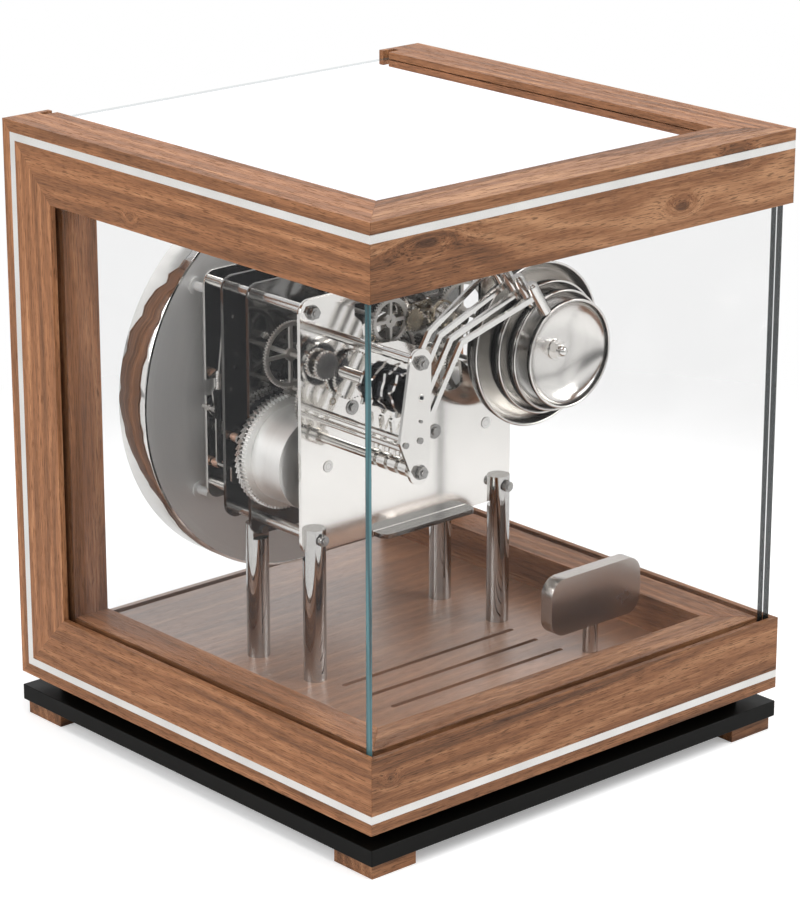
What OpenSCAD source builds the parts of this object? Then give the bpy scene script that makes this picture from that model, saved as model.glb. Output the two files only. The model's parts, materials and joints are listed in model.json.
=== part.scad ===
// Glazed table clock: a walnut case on a black plinth, with a skeleton chiming movement inside.
// The dial faces -y, +z is up, and the origin is the middle of the base, on the table.

/* [Case] */
// Width of the wooden case
case_w = 280; // [270:1:340]
// Depth of the wooden case
case_d = 280; // [270:1:340]
// Height of the wooden frame above the plinth
frame_h = 298; // [290:1:360]
// Thickness of every frame member, seen from above
member_t = 28.5; // [24:0.5:34]
// Height of the bottom rails
lower_rail_h = 39; // [34:0.5:46]
// Height of the top rails
upper_rail_h = 38; // [32:0.5:44]
// Width of the front posts, seen from the side
front_post_w = 38.3; // [32:0.1:44]
// Width of the pale inlay line
inlay_w = 4; // [2:0.5:6]
// Distance of the inlay line from the outer edges
inlay_inset = 6; // [4:0.5:10]
// Depth of the inlay line
inlay_t = 1.2; // [0.8:0.1:2]

/* [Base] */
// Side of the four square feet
foot_w = 28; // [20:1:40]
// Height of the feet
foot_h = 7.5; // [6:0.5:12]
// Distance of the feet from the plinth's edges
foot_inset = 2; // [0:0.5:8]
// Thickness of the plinth board
plinth_h = 8.5; // [6:0.5:14]
// Height of the shadow gap between plinth and frame
plinth_gap = 7.5; // [4:0.5:12]
// Distance of the raised middle of the plinth from its edges
plinth_step = 14; // [8:1:24]
// Height of the floor's upper face above the bottom of the frame
floor_level = 20; // [16:0.5:24]
// Thickness of the floor board
floor_t = 12; // [8:0.5:14]
// Length of the sound slots in the floor
slot_l = 119; // [90:1:130]
// Width of the sound slots
slot_w = 3; // [2:0.5:4]
// Distance between the sound slots
slot_pitch = 18.7; // [12:0.1:20]
// Number of sound slots
slot_count = 4; // [2:1:4]
// Place of the first sound slot behind the middle of the case
first_slot_y = 25.5; // [22:0.5:30]

/* [Glass] */
// Thickness of every pane
glass_t = 4; // [3:0.5:5]
// Distance of the upright panes from the outer face of the wood
glass_inset = 3.5; // [3:0.5:6]
// Depth of the grooves that hold the panes
groove_depth = 8; // [5:0.5:10]
// Space left round a pane in its groove
glass_fit = 0.3; // [0.2:0.05:0.5]
// Distance of the top pane below the upper face of the wood
top_glass_drop = 4; // [3:0.5:7]

/* [Dial] */
// Outer radius of the dial drum
dial_r = 103.5; // [90:0.5:108]
// Depth of the dial drum
dial_drum_d = 20; // [16:0.5:26]
// Wall of the dial drum
dial_wall = 1.5; // [1:0.1:2.5]
// Place of the dial's rear face
dial_back_y = -76.5; // [-78:0.5:-75]
// Thickness of the dial disc
dial_t = 2.5; // [2:0.1:3]
// Width of the chapter ring
chapter_w = 30; // [20:1:36]
// Length of the minute hand
minute_l = 86; // [70:1:92]
// Length of the hour hand
hour_l = 60; // [45:1:66]

/* [Movement] */
// Width of the movement plates
plate_w = 143; // [138:1:160]
// Height of the movement plates
plate_h = 133; // [130:1:140]
// Height of the plates' middle above the hand arbor
plate_mid = 5.5; // [4:0.5:7]
// Corner radius of the plates
plate_corner = 7; // [4:0.5:8]
// Thickness of the plates
plate_t = 2.2; // [1.6:0.1:2.6]
// Rear face of the back plate
back_plate_y = 9; // [8:0.5:10]
// Rear face of the centre plate
centre_plate_y = -31; // [-32:0.5:-30.5]
// Rear face of the front plate
front_plate_y = -51; // [-53:0.5:-49]
// Rear face of the thin plate that carries the dial
dial_plate_y = -66; // [-67:0.5:-65]
// Radius of the chrome support posts
post_r = 6; // [5:0.25:7]
// Sideways place of the support posts and of the plate pillars
post_x = 63.5; // [58:0.5:65]
// Radius of the plate pillars
pillar_r = 2.8; // [2.4:0.1:3.2]
// Radial clearance of every turning pivot
pivot_fit = 0.05; // [0.03:0.01:0.08]

/* [Going barrels] */
// Sideways place of the chime barrel, with the strike barrel opposite
barrel_x = 54; // [52:0.5:58]
// Height of both side barrels above the hand arbor
barrel_z = -17; // [-20:0.5:-15]
// Radius of the side barrels' drums
barrel_r = 25; // [20:0.5:26]
// Length of the side barrels' drums behind their great wheels
barrel_l = 22; // [16:0.5:24]
// Teeth of the side barrels' great wheels
great_teeth = 84; // [76:1:86]
// Tooth size, pitch diameter over teeth, of the great wheels
great_unit = 0.7; // [0.6:0.01:0.72]
// Radius of the winding arbors
winding_r = 3; // [2.4:0.1:3.4]

/* [Chime] */
// Teeth of the small ratio wheel behind the back plate
ratio_small_teeth = 26; // [22:1:28]
// Teeth of the large ratio wheel on the chime drum
ratio_large_teeth = 44; // [38:1:46]
// Tooth size of the ratio wheels
ratio_unit = 0.55; // [0.5:0.01:0.58]
// Radius of the chime drum's cams
cam_r = 13.5; // [12:0.5:14]
// Thickness of the cams
cam_t = 1.6; // [1.2:0.1:2.2]
// Distance from cam to cam, hammer to hammer and bell rim to bell rim
hammer_pitch = 8; // [7.4:0.1:8.6]
// Middle of the cam and hammer nearest the rear glass
last_hammer_y = 55; // [54:0.5:57]
// Front face of the chime bracket
bracket_y = 62; // [61:0.5:64]
// Radius of the smallest bell's rim
small_bell_r = 28.7; // [25:0.1:30]
// How much larger each of the next two bells is
bell_growth = 3.2; // [2.5:0.1:3.6]
// Radius of the largest bell's rim
large_bell_r = 43.5; // [40:0.5:45]
// Depth of the smallest bell
small_bell_d = 12; // [10:0.5:14]
// Thickness of the bells' walls
bell_t = 1.2; // [0.9:0.1:1.6]
// Gap between a resting hammer and its bell
strike_gap = 1; // [0.9:0.1:1.5]

/* [Key] */
// Width of the winding key's grip
key_w = 64; // [50:1:70]
// Height of the grip
key_h = 31; // [24:1:36]
// Thickness of the grip
key_t = 8; // [7:0.5:10]
// Radius of the key's stem
key_stem_r = 4; // [3.6:0.1:4.5]
// Height of the grip's underside above the floor
key_lift = 15.5; // [10:0.5:24]

/* [Hidden] */
$fn = 48;
round_steps = 96;
cut = 0.5;
frame_z = foot_h + plinth_h + plinth_gap;
half_w = case_w / 2;
half_d = case_d / 2;
inner_x = half_w - member_t;
inner_y = half_d - member_t;
floor_z = frame_z + floor_level;
dial_z = frame_z + frame_h / 2;
frame_top = frame_z + frame_h;
rear_recess_h = 10;
rear_recess_t = 6;
side_pane_x = half_w - glass_inset;
rear_pane_y = half_d - glass_inset;
groove_w = glass_t + 2 * glass_fit;
upright_glass_low = frame_z + lower_rail_h - groove_depth + glass_fit;
upright_glass_high = frame_top - upper_rail_h + groove_depth - glass_fit;
front_glass_low = floor_z - groove_depth + glass_fit;
front_glass_high = frame_top - top_glass_drop;
floor_fit = 0.1;
side_groove_low = frame_z + lower_rail_h - groove_depth;
side_groove_h = frame_h - lower_rail_h - upper_rail_h + 2 * groove_depth;
top_groove_low = frame_top - top_glass_drop - glass_t - glass_fit;

// The key stands in its own hole beside the slots
key_at = [-68.7, 74.1];
key_corner_share = 0.3;
key_hole_fit = 0.1;
key_stem_in = floor_t;
key_socket_w = 4.4;

// Support posts: the rear pair meets the back plate, the front pair the centre plate
rear_post_y = back_plate_y;
front_post_gap = 3.1;
front_post_y = centre_plate_y - plate_t - front_post_gap;
post_full_top = -64;
rear_post_top = -47.5;
front_post_top = -56.5;
post_spot_depth = 1.6;
low_pillar_z = -52.5;
high_pillar_z = 65;
plate_low = plate_mid - plate_h / 2;
plate_high = plate_mid + plate_h / 2;
front_plate_low = -56.7;
dial_plate_low = -50;
dial_plate_t = 1.5;

// Tooth form, as shares of the tooth size and of the step from tooth to tooth
tip_share = 0.85;
root_share = 1.15;
tip_half_share = 0.1;
root_half_share = 0.31;

// Directions, seen with x to the right and z up, in which each wheel lies from the one before it
second_angle = 95.8;
third_angle = 70.7;
drum_angle = 205.2;
fourth_angle = 190;
fly_angle = 145;
time_third_angle = 86.5;
time_fourth_angle = 75.5;
escape_angle = 187.1;
balance_angle = 176.7;

// Teeth and tooth sizes of the trains
great_pinion = 12;
second_teeth = 76;
second_unit = 0.5;
third_pinion = 12;
third_teeth = 68;
fourth_pinion = 10;
fourth_teeth = 60;
fly_pinion = 10;
time_great_teeth = 76;
centre_pinion = 12;
centre_teeth = 84;
centre_unit = 0.6;
time_pinion = 10;
time_third_teeth = 60;
time_fourth_teeth = 48;
escape_unit = 0.5;
escape_pinion = 12;
cannon_teeth = 12;
minute_teeth = 36;
minute_pinion = 12;
hour_teeth = 48;
hour_unit = centre_unit * (cannon_teeth + minute_teeth) / (minute_pinion + hour_teeth);

function polar(r, a) = [r * cos(a), r * sin(a)];
function between(na, nb, unit) = (na + nb) * unit / 2;
// Phase of a wheel that meshes with one of phase pa, lying in direction a from it
function mesh_phase(pa, na, nb, a) = a + 180 - 180 / nb + (a - pa) * na / nb;

chime_barrel_at = [barrel_x, barrel_z];
second_at = chime_barrel_at + polar(between(great_teeth, great_pinion, great_unit), second_angle);
third_at = second_at + polar(between(second_teeth, third_pinion, second_unit), third_angle);
drum_at = third_at + polar(between(ratio_small_teeth, ratio_large_teeth, ratio_unit), drum_angle);
fourth_at = third_at + polar(between(third_teeth, fourth_pinion, second_unit), fourth_angle);
fly_at = fourth_at + polar(between(fourth_teeth, fly_pinion, second_unit), fly_angle);
strike_fly_at = [-fourth_at[0], fourth_at[1]];
second_phase = mesh_phase(0, great_teeth, great_pinion, second_angle);
third_phase = mesh_phase(second_phase, second_teeth, third_pinion, third_angle);
fourth_phase = mesh_phase(third_phase, third_teeth, fourth_pinion, fourth_angle);
fly_phase = mesh_phase(fourth_phase, fourth_teeth, fly_pinion, fly_angle);
drum_phase = mesh_phase(third_phase, ratio_small_teeth, ratio_large_teeth, drum_angle);

time_barrel_at = [0, -between(time_great_teeth, centre_pinion, great_unit)];
time_third_at = polar(between(centre_teeth, time_pinion, centre_unit), time_third_angle);
time_fourth_reach = between(time_third_teeth, time_pinion, centre_unit);
time_fourth_at = time_third_at + polar(time_fourth_reach, time_fourth_angle);
escape_at = time_fourth_at + polar(between(time_fourth_teeth, escape_pinion, escape_unit), escape_angle);
balance_gap = 15.8;
balance_at = escape_at + polar(balance_gap, balance_angle);
pallet_at = escape_at + polar(balance_gap / 2, balance_angle);
minute_angle = 215;
minute_wheel_at = polar(between(cannon_teeth, minute_teeth, centre_unit), minute_angle);
time_barrel_phase = mesh_phase(0, centre_pinion, time_great_teeth, -90);
time_third_phase = mesh_phase(0, centre_teeth, time_pinion, time_third_angle);
time_fourth_phase = mesh_phase(time_third_phase, time_third_teeth, time_pinion, time_fourth_angle);
escape_phase = mesh_phase(time_fourth_phase, time_fourth_teeth, escape_pinion, escape_angle);
minute_phase = mesh_phase(0, cannon_teeth, minute_teeth, minute_angle);
hour_phase = mesh_phase(minute_phase, minute_pinion, hour_teeth, minute_angle + 180);

// Rear faces and thicknesses of the wheels between the plates
wheel_t = 1.6;
great_t = 3;
ring_gap = 1;
ratchet_gap = 2.4;
ratchet_back = centre_plate_y + ratchet_gap + great_t;
great_back = ratchet_back + ring_gap + great_t;
drum_end = great_back + barrel_l;
time_great_back = 0;
time_drum_l = 20;
time_drum_r = 21;
rear_wheel_y = 3.6;
third_wheel_y = -14;
fourth_wheel_y = -6;
time_third_y = -3.5;
fly_front = -26;
fly_back = -12;
fly_r = 6.5;
fly_t = 0.6;
arbor_r = 1.2;
pivot_r = 0.9;
centre_r = 1.6;
pivot_out = 0.4;
pinion_extra = 0.7;
arbor_overlap = 1;
wheel_rim = 1.6;
wheel_hub_r = 3.4;
wheel_spokes = 4;
lid_depth = 0.8;
lid_rim = 2;
lid_boss = 3;

// Winding arbors
square_w = 4.2;
square_l = 9;
winding_proud = 3;
winding_end_y = dial_back_y - dial_t - winding_proud;
winding_room = 2;
dial_hole_r = winding_r + winding_room;
ratchet_teeth = 60;
ratchet_r = (great_teeth / 2 + tip_share) * great_unit;
ratchet_depth = 1.6;
ratchet_lean = 0.9;
time_ratchet_r = 17;

// Escapement
escape_teeth = 15;
escape_r = 6.2;
escape_root_share = 0.78;
escape_lean = 0.35;
escape_t = 0.8;
escape_pinion_step = 0.2;
balance_r = 7.5;
balance_rim = 1.1;
balance_y = 8;
balance_t = 1.5;
balance_hub_r = 1.6;
balance_spokes = 3;
balance_spoke_w = 0.8;
balance_turn = 30;
staff_r = 0.6;
platform_y = 0;
platform_t = 1.5;
cock_y = 11.5;
cock_t = 1.6;
platform_leg_r = 1.5;
cock_reach = 13.5;
cock_angle = 200;
cock_post_r = 2;
cock_w = 6;
escape_leg = [5, 9];
fly_leg = [6, 6];
platform_w = 14;
arm_w = 8;
pallet_back = 7.4;
pallet_t = 0.8;
escape_y = 5.4;
fork_l = 4.6;
pallet_w = 1;
pallet_reach = 2.6;

// Motion work
cannon_r = 2.6;
minute_wheel_y = -56;
hour_wheel_y = -59.4;
hour_pipe_r = 4.2;
pipe_gap = 0.4;
hour_pipe_bore = cannon_r + pipe_gap;
hand_t = 1.2;
hand_gap = 5;
hand_step = 3;
hour_hand_y = dial_back_y - dial_t - hand_gap;
minute_hand_y = hour_hand_y - hand_step;
pipe_end = 1;
cannon_seat = 2;
thin_step = 0.2;
centre_thin_r = centre_r - thin_step;
hand_w = 5;
hand_tip_share = 0.35;
hand_tail_share = 0.22;
hub_r = 6;
hand_nut_r = 3;
hand_nut_t = 1.6;
minute_rest = 60;
hour_rest = 305;

// Chime mechanism behind the back plate
ratio_gap = 4.2;
ratio_back = back_plate_y + ratio_gap;
ratio_t = 2;
cam_lobe_h = 2.2;
cam_base_r = cam_r - cam_lobe_h;
core_step = 1.8;
drum_core_r = cam_base_r - core_step;
core_front_over = 3;
core_back_over = 2;
core_front = last_hammer_y - 3 * hammer_pitch - core_front_over;
core_back = last_hammer_y + core_back_over;
sleeve_r = 3.2;
bracket_t = 1.8;
bracket_top_r = 7;
bracket_low_r = 6.6;
bracket_corner = [14, -21];
bracket_screws = [[0.4, -12, 0.9], [0.8, -21.8, 1.7], [10.2, -22.3, 1.7]];
bracket_screw_l = 0.7;
top_rod_from_drum = [0.5, 18];
hammer_from_drum = [1, -38];
stop_rod_from_drum = [10, -20];
stop_rod_step = [0.4, -4.6];
top_rod_at = drum_at + top_rod_from_drum;
hammer_at = drum_at + hammer_from_drum;
stop_rod_at = drum_at + stop_rod_from_drum;
rod_r = 2.5;
stop_rod_r = 1.6;
hammer_hub_r = 4.4;
hammer_hub_l = 5.6;
hammer_arm_w = 3;
hammer_arm_t = 1.8;
lifter_w = 2.4;
lifter_end = [3.4, 23.2];
hammer_bend = [-35.5, 57.5];
hammer_head_r = 3.2;
hammer_head_l = 18.5;
hammer_grip_share = 0.6;
hammer_collar_r = 2.6;
hammer_collar_l = 0.8;
hammer_screw_r = 1.9;
hammer_screw_l = 1.6;
head_angle = 57;
bell_at = [-67.5, 28.5];
rim_step = 2.5;
first_rim_y = last_hammer_y + rim_step;
bell_radii = [small_bell_r, small_bell_r + bell_growth, small_bell_r + 2 * bell_growth, large_bell_r];
bell_extra_depths = [0, 5, 7, 8];
bell_depths = [for (extra = bell_extra_depths) small_bell_d + extra];
bell_curve = 0.82;
bell_flat_r = 5.6;
bell_steps = 15;
bell_post_r = 3;
bell_spacer_r = 5;
bell_nut_r = 4.5;
bell_nut_l = 4;
nut_dome_share = 0.7;
bell_washer_r = 5.2;
bell_washer_t = 0.8;

// Case

// A flat outline given as [y, z] from the bottom of the frame, thickened across the right side member
module side_outline(points) {
    translate([inner_x, 0, frame_z]) rotate([90, 0, 90]) linear_extrude(member_t) polygon(points);
}

// Plan of a right side member, cut at 45 degrees where it meets the rear
module side_plan() {
    polygon([[inner_x, -half_d], [half_w, -half_d], [half_w, half_d], [inner_x, inner_y]]);
}

module both_sides() {
    children();
    mirror([1, 0, 0]) children();
}

// Grooves for the side pane and the front pane in the right side frame
module right_grooves() {
    translate([side_pane_x - glass_t - glass_fit, -half_d + front_post_w - groove_depth, side_groove_low])
        cube([groove_w, case_d, side_groove_h]);
    translate([inner_x - cut, -half_d + glass_inset - glass_fit, floor_z - groove_depth])
        cube([groove_depth + cut, groove_w, frame_h]);
    translate([inner_x - cut, -half_d + glass_inset + glass_t, top_groove_low])
        cube([groove_depth + cut, case_d, glass_t + 2 * glass_fit]);
}

module inlay_outline(low, high) {
    polygon([[-half_d + low, low], [half_d, low], [half_d, high], [-half_d + high, high]]);
}

// The right side's inlay line, drawn as [y, z] from the bottom of the frame
module right_inlay() {
    near = inlay_inset;
    far = inlay_inset + inlay_w;
    translate([half_w - inlay_t, 0, frame_z]) rotate([90, 0, 90]) linear_extrude(inlay_t) difference() {
        polygon([
            [-half_d + near, near], [half_d, near],
            [half_d, frame_h - near], [-half_d + near, frame_h - near]
        ]);
        polygon([
            [-half_d + far, far], [half_d + cut, far],
            [half_d + cut, frame_h - far], [-half_d + far, frame_h - far]
        ]);
    }
}

module rear_inlay() {
    for (z = [inlay_inset, frame_h - inlay_inset - inlay_w])
        translate([-half_w + inlay_t, half_d - inlay_t, frame_z + z])
            cube([case_w - 2 * inlay_t, inlay_t, inlay_w]);
}

module inlay_lines() {
    color("whitesmoke") {
        both_sides() right_inlay();
        rear_inlay();
    }
}

module front_posts() {
    color("sienna") both_sides() difference() {
        side_outline([
            [-half_d, 0], [-half_d + front_post_w, lower_rail_h],
            [-half_d + front_post_w, frame_h - upper_rail_h], [-half_d, frame_h]
        ]);
        right_grooves();
        right_inlay();
    }
}

module side_bottom_rails() {
    color("peru") both_sides() difference() {
        intersection() {
            side_outline([
                [-half_d, 0], [half_d, 0],
                [half_d, lower_rail_h], [-half_d + front_post_w, lower_rail_h]
            ]);
            linear_extrude(frame_top) side_plan();
        }
        right_grooves();
        right_inlay();
    }
}

module side_top_rails() {
    color("peru") both_sides() difference() {
        intersection() {
            side_outline([
                [-half_d, frame_h], [-half_d + front_post_w, frame_h - upper_rail_h],
                [half_d, frame_h - upper_rail_h], [half_d, frame_h]
            ]);
            linear_extrude(frame_top) side_plan();
        }
        right_grooves();
        right_inlay();
    }
}

module rear_rail(low, height) {
    translate([0, 0, frame_z + low]) linear_extrude(height)
        polygon([[-half_w, half_d], [half_w, half_d], [inner_x, inner_y], [-inner_x, inner_y]]);
}

// Groove of the rear pane, at both rails
module rear_groove() {
    translate([-side_pane_x - glass_fit, rear_pane_y - glass_t - glass_fit, side_groove_low])
        cube([2 * (side_pane_x + glass_fit), groove_w, side_groove_h]);
}

module rear_top_rail() {
    color("saddlebrown") difference() {
        rear_rail(frame_h - upper_rail_h, upper_rail_h);
        rear_groove();
        inlay_lines();
        translate([-half_w, inner_y - cut, top_groove_low])
            cube([case_w, groove_depth + cut, glass_t + 2 * glass_fit]);
    }
}

module rear_bottom_rail() {
    color("saddlebrown") difference() {
        rear_rail(0, lower_rail_h);
        rear_groove();
        inlay_lines();
        translate([-half_w, inner_y - cut, frame_z - cut])
            cube([case_w, rear_recess_t + cut, lower_rail_h - rear_recess_h + cut]);
    }
}

module floor_board() {
    front_lip = glass_inset + glass_t + 2 * glass_fit;
    floor_w = 2 * (inner_x - floor_fit);
    through = floor_t + 2 * cut;
    straight = slot_l - slot_w;
    color("tan") difference() {
        union() {
            translate([-floor_w / 2, -half_d + front_lip, floor_z - floor_t])
                cube([floor_w, case_d - front_lip - member_t + rear_recess_t - floor_fit, floor_t]);
            translate([-floor_w / 2, -half_d, frame_z]) cube([floor_w, front_lip + floor_t, floor_level]);
        }
        translate([-half_w, -half_d + glass_inset - glass_fit, floor_z - groove_depth])
            cube([case_w, groove_w, frame_h]);
        for (i = [0 : slot_count - 1])
            translate([0, first_slot_y + i * slot_pitch, floor_z - floor_t - cut]) {
                translate([-straight / 2, -slot_w / 2, 0]) cube([straight, slot_w, through]);
                for (end = [-1, 1]) translate([end * straight / 2, 0, 0]) cylinder(h = through, d = slot_w);
            }
        translate([key_at[0], key_at[1], floor_z - floor_t - cut])
            cylinder(h = through, r = key_stem_r + key_hole_fit);
    }
}

module plinth_board() {
    color("#1b1b1d") {
        translate([-half_w, -half_d, foot_h]) cube([case_w, case_d, plinth_h]);
        translate([-half_w + plinth_step, -half_d + plinth_step, foot_h + plinth_h])
            cube([case_w - 2 * plinth_step, case_d - 2 * plinth_step, plinth_gap]);
    }
}

module feet() {
    edge = foot_inset + foot_w / 2;
    color("sienna") for (sx = [-1, 1], sy = [-1, 1])
        translate([sx * (half_w - edge), sy * (half_d - edge), foot_h / 2])
            cube([foot_w, foot_w, foot_h], center = true);
}

// Glass

module side_glass() {
    front = -half_d + front_post_w - groove_depth + glass_fit;
    back = rear_pane_y - glass_t - glass_fit;
    color("#bfe3e0", 0.4) both_sides() translate([side_pane_x - glass_t, front, upright_glass_low])
        cube([glass_t, back - front, upright_glass_high - upright_glass_low]);
}

module rear_glass() {
    color("#bfe3e0", 0.4) translate([-side_pane_x, rear_pane_y - glass_t, upright_glass_low])
        cube([2 * side_pane_x, glass_t, upright_glass_high - upright_glass_low]);
}

module top_glass() {
    side = inner_x + groove_depth - glass_fit;
    front = half_d - glass_inset - glass_t - 2 * glass_fit;
    color("#dfe6f2", 0.4) translate([-side, -front, frame_top - top_glass_drop - glass_t])
        cube([2 * side, front + inner_y + groove_depth - glass_fit, glass_t]);
}

module front_glass() {
    side = inner_x + groove_depth - glass_fit;
    color("#bfe3e0", 0.4) translate([-side, -half_d + glass_inset, front_glass_low])
        cube([2 * side, glass_t, front_glass_high - front_glass_low]);
}

// Movement frame

// A flat outline drawn as [x, z] from the hand arbor, thickened from y_back towards the dial
module upright(y_back, t) {
    translate([0, y_back, dial_z]) rotate([90, 0, 0]) linear_extrude(t) children();
}

// A round bar along y, at a place given from the hand arbor
module bar(at, y_front, y_back, r) {
    translate([at[0], y_back, dial_z + at[1]]) rotate([90, 0, 0]) cylinder(h = y_back - y_front, r = r);
}

module rounded_plate(low, high) {
    side = plate_w / 2;
    translate([-side + plate_corner, low]) square([plate_w - 2 * plate_corner, high - low]);
    translate([-side, low + plate_corner]) square([plate_w, high - low - 2 * plate_corner]);
    for (x = [-side + plate_corner, side - plate_corner], z = [low + plate_corner, high - plate_corner])
        translate([x, z]) circle(plate_corner);
}

module hole(at, r) {
    translate(at) circle(r + pivot_fit);
}

// Pivot holes that the centre plate and the back plate share
module pivot_holes() {
    for (side = [-1, 1], at = [second_at, third_at]) hole([side * at[0], at[1]], pivot_r);
    for (side = [-1, 1]) hole([side * barrel_x, barrel_z], winding_r);
    hole(time_barrel_at, winding_r);
    for (at = [fourth_at, fly_at, time_third_at, time_fourth_at, strike_fly_at]) hole(at, pivot_r);
}

// Corners of the opening in the back plate, as shares of half the plate's width and of its height
window_shares = [
    [0.503, 0.94], [0.503, 0.895], [0.44, 0.865], [0.42, 0.805], [0.31, 0.764], [0.098, 0.756],
    [-0.056, 0.722], [-0.248, 0.691], [-0.294, 0.617], [-0.308, 0.541], [-0.364, 0.508],
    [-0.448, 0.5], [-0.529, 0.519], [-0.503, 0.613], [-0.63, 0.557], [-0.7, 0.617], [-0.7, 0.94]
];

// The folded ledge under the back plate
ledge_shares = [-0.56, 0.336];
ledge_d = 9;
ledge_t = 2.4;
ledge_chamfer = 3;

module back_plate() {
    left = ledge_shares[0] * plate_w / 2;
    right = ledge_shares[1] * plate_w / 2;
    color("#d9d6d2") {
        upright(back_plate_y, plate_t) difference() {
            rounded_plate(plate_low, plate_high);
            polygon([for (p = window_shares) [p[0] * plate_w / 2, plate_low + p[1] * plate_h]]);
            pivot_holes();
            hole(drum_at, pivot_r);
            hole([0, 0], pivot_r);
        }
        translate([0, back_plate_y - cut, dial_z + plate_low]) linear_extrude(ledge_t) polygon([
            [left, 0], [right, 0],
            [right, ledge_d - ledge_chamfer + cut], [right - ledge_chamfer, ledge_d + cut],
            [left + ledge_chamfer, ledge_d + cut], [left, ledge_d - ledge_chamfer + cut]
        ]);
    }
}

module centre_plate() {
    color("#c9c6c2") upright(centre_plate_y, plate_t) difference() {
        rounded_plate(plate_low, plate_high);
        pivot_holes();
        hole([0, 0], centre_r);
    }
}

module front_plate() {
    color("#c9c6c2") upright(front_plate_y, plate_t) difference() {
        rounded_plate(front_plate_low, plate_high);
        for (side = [-1, 1]) hole([side * barrel_x, barrel_z], winding_r);
        hole(time_barrel_at, winding_r);
        hole([0, 0], centre_r);
        hole(minute_wheel_at, pivot_r);
        hole(lever_foot, stud_r);
    }
}

// The dial plate is stepped at its right edge, where the strike levers work
notch_shares = [0.46, 0.53];
notch_depth = 6;

module dial_plate() {
    plate_span = plate_high - dial_plate_low;
    color("#c9c6c2") upright(dial_plate_y, dial_plate_t) difference() {
        rounded_plate(dial_plate_low, plate_high);
        translate([plate_w / 2 - notch_depth, dial_plate_low + notch_shares[0] * plate_span])
            square([notch_depth + cut, (notch_shares[1] - notch_shares[0]) * plate_span]);
        for (side = [-1, 1]) hole([side * barrel_x, barrel_z], winding_r);
        hole(time_barrel_at, winding_r);
        hole([0, 0], hour_pipe_r);
        hole(minute_wheel_at, pivot_r);
    }
}

module plate_pillars() {
    color("silver") for (x = [-post_x, post_x], z = [low_pillar_z, high_pillar_z]) {
        bar([x, z], centre_plate_y, back_plate_y - plate_t, pillar_r);
        bar([x, z], front_plate_y, centre_plate_y - plate_t, pillar_r);
    }
    color("silver") for (x = [-post_x, post_x], z = [dial_plate_low + plate_corner, high_pillar_z])
        bar([x, z], dial_plate_y, front_plate_y - plate_t, pillar_r);
}

module support_post(y, top, flat_y, keep) {
    difference() {
        translate([0, y, floor_z]) cylinder(h = dial_z + top - floor_z, r = post_r);
        translate([-post_r - cut, keep > 0 ? flat_y - 2 * post_r : flat_y, dial_z + post_full_top])
            cube([2 * (post_r + cut), 2 * post_r, frame_h]);
        if (keep > 0) translate([0, y + post_r - post_spot_depth, dial_z + low_pillar_z]) rotate([-90, 0, 0])
            cylinder(h = post_r, r = pillar_r + cut);
    }
}

post_nut_y = back_plate_y + post_r - post_spot_depth;

module support_posts() {
    color("silver") both_sides() translate([post_x, 0, 0]) {
        support_post(rear_post_y, rear_post_top, back_plate_y, 1);
        support_post(front_post_y, front_post_top, centre_plate_y - plate_t, -1);
    }
}

// Small fixings
nut_r = 3.2;
nut_l = 2.4;
washer_r = 3.9;
washer_t = 0.6;
bolt_r = 1.7;
bolt_l = 0.7;
screw_r = 2.2;
screw_l = 1.2;
plate_screws = [[-18, -14], [37.8, 10.7]];
post_screw_z = -59;

// A six-sided nut on a washer, with the end of its bolt just proud
module nut(at, y) {
    bar(at, y, y + washer_t, washer_r);
    bar(at, y + washer_t - cut, y + washer_t + nut_l, nut_r, $fn = 6);
    bar(at, y, y + washer_t + nut_l + bolt_l, bolt_r);
}

module fixing_screws() {
    color("silver") {
        for (x = [-post_x, post_x]) {
            nut([x, high_pillar_z], back_plate_y);
            bar([x, low_pillar_z], post_nut_y, post_nut_y + post_spot_depth + nut_l, pillar_r);
            bar([x, low_pillar_z], post_nut_y, post_nut_y + post_spot_depth + nut_l + bolt_l, bolt_r);
            bar([x, post_screw_z], centre_plate_y, centre_plate_y + screw_l, screw_r);
        }
        for (at = plate_screws) {
            bar(at, back_plate_y, back_plate_y + washer_t, washer_r);
            bar(at, back_plate_y, back_plate_y + screw_l + washer_t, screw_r);
        }
        for (at = [top_rod_at, hammer_at]) nut(at, bracket_y + bracket_t);
        for (p = bracket_screws)
            bar(drum_at + [p[0], p[1]], bracket_y + bracket_t, bracket_y + bracket_t + bracket_screw_l, p[2]);
    }
}

// Wheels

module gear_outline(teeth, unit, phase) {
    root = (teeth / 2 - root_share) * unit;
    tip = (teeth / 2 + tip_share) * unit;
    step = 360 / teeth;
    polygon([for (i = [0 : teeth - 1], p = [
        [root, -root_half_share], [tip, -tip_half_share], [tip, tip_half_share], [root, root_half_share]
    ]) polar(p[0], phase + (i + p[1]) * step)]);
}

// A crossed-out wheel: rim, hub and spokes
module spoked_outline(teeth, unit, phase, hub, spokes) {
    rim = (teeth / 2 - root_share) * unit - wheel_rim;
    spoke_w = hub / 2;
    difference() {
        gear_outline(teeth, unit, phase);
        difference() {
            circle(rim);
            circle(hub);
            for (i = [0 : spokes - 1]) rotate(i * 360 / spokes)
                translate([0, -spoke_w / 2]) square([rim + wheel_rim, spoke_w]);
        }
    }
}

module wheel(at, y_back, t, teeth, unit, phase) {
    upright(y_back, t) translate(at) gear_outline(teeth, unit, phase);
}

// A pinion a little wider than the wheel at wheel_y that drives it
module pinion(at, wheel_y, t, teeth, unit, phase) {
    wheel(at, wheel_y + pinion_extra, t + 2 * pinion_extra, teeth, unit, phase);
}

module open_wheel(at, y_back, teeth, unit, phase) {
    upright(y_back, wheel_t) translate(at) spoked_outline(teeth, unit, phase, wheel_hub_r, wheel_spokes);
}

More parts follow.
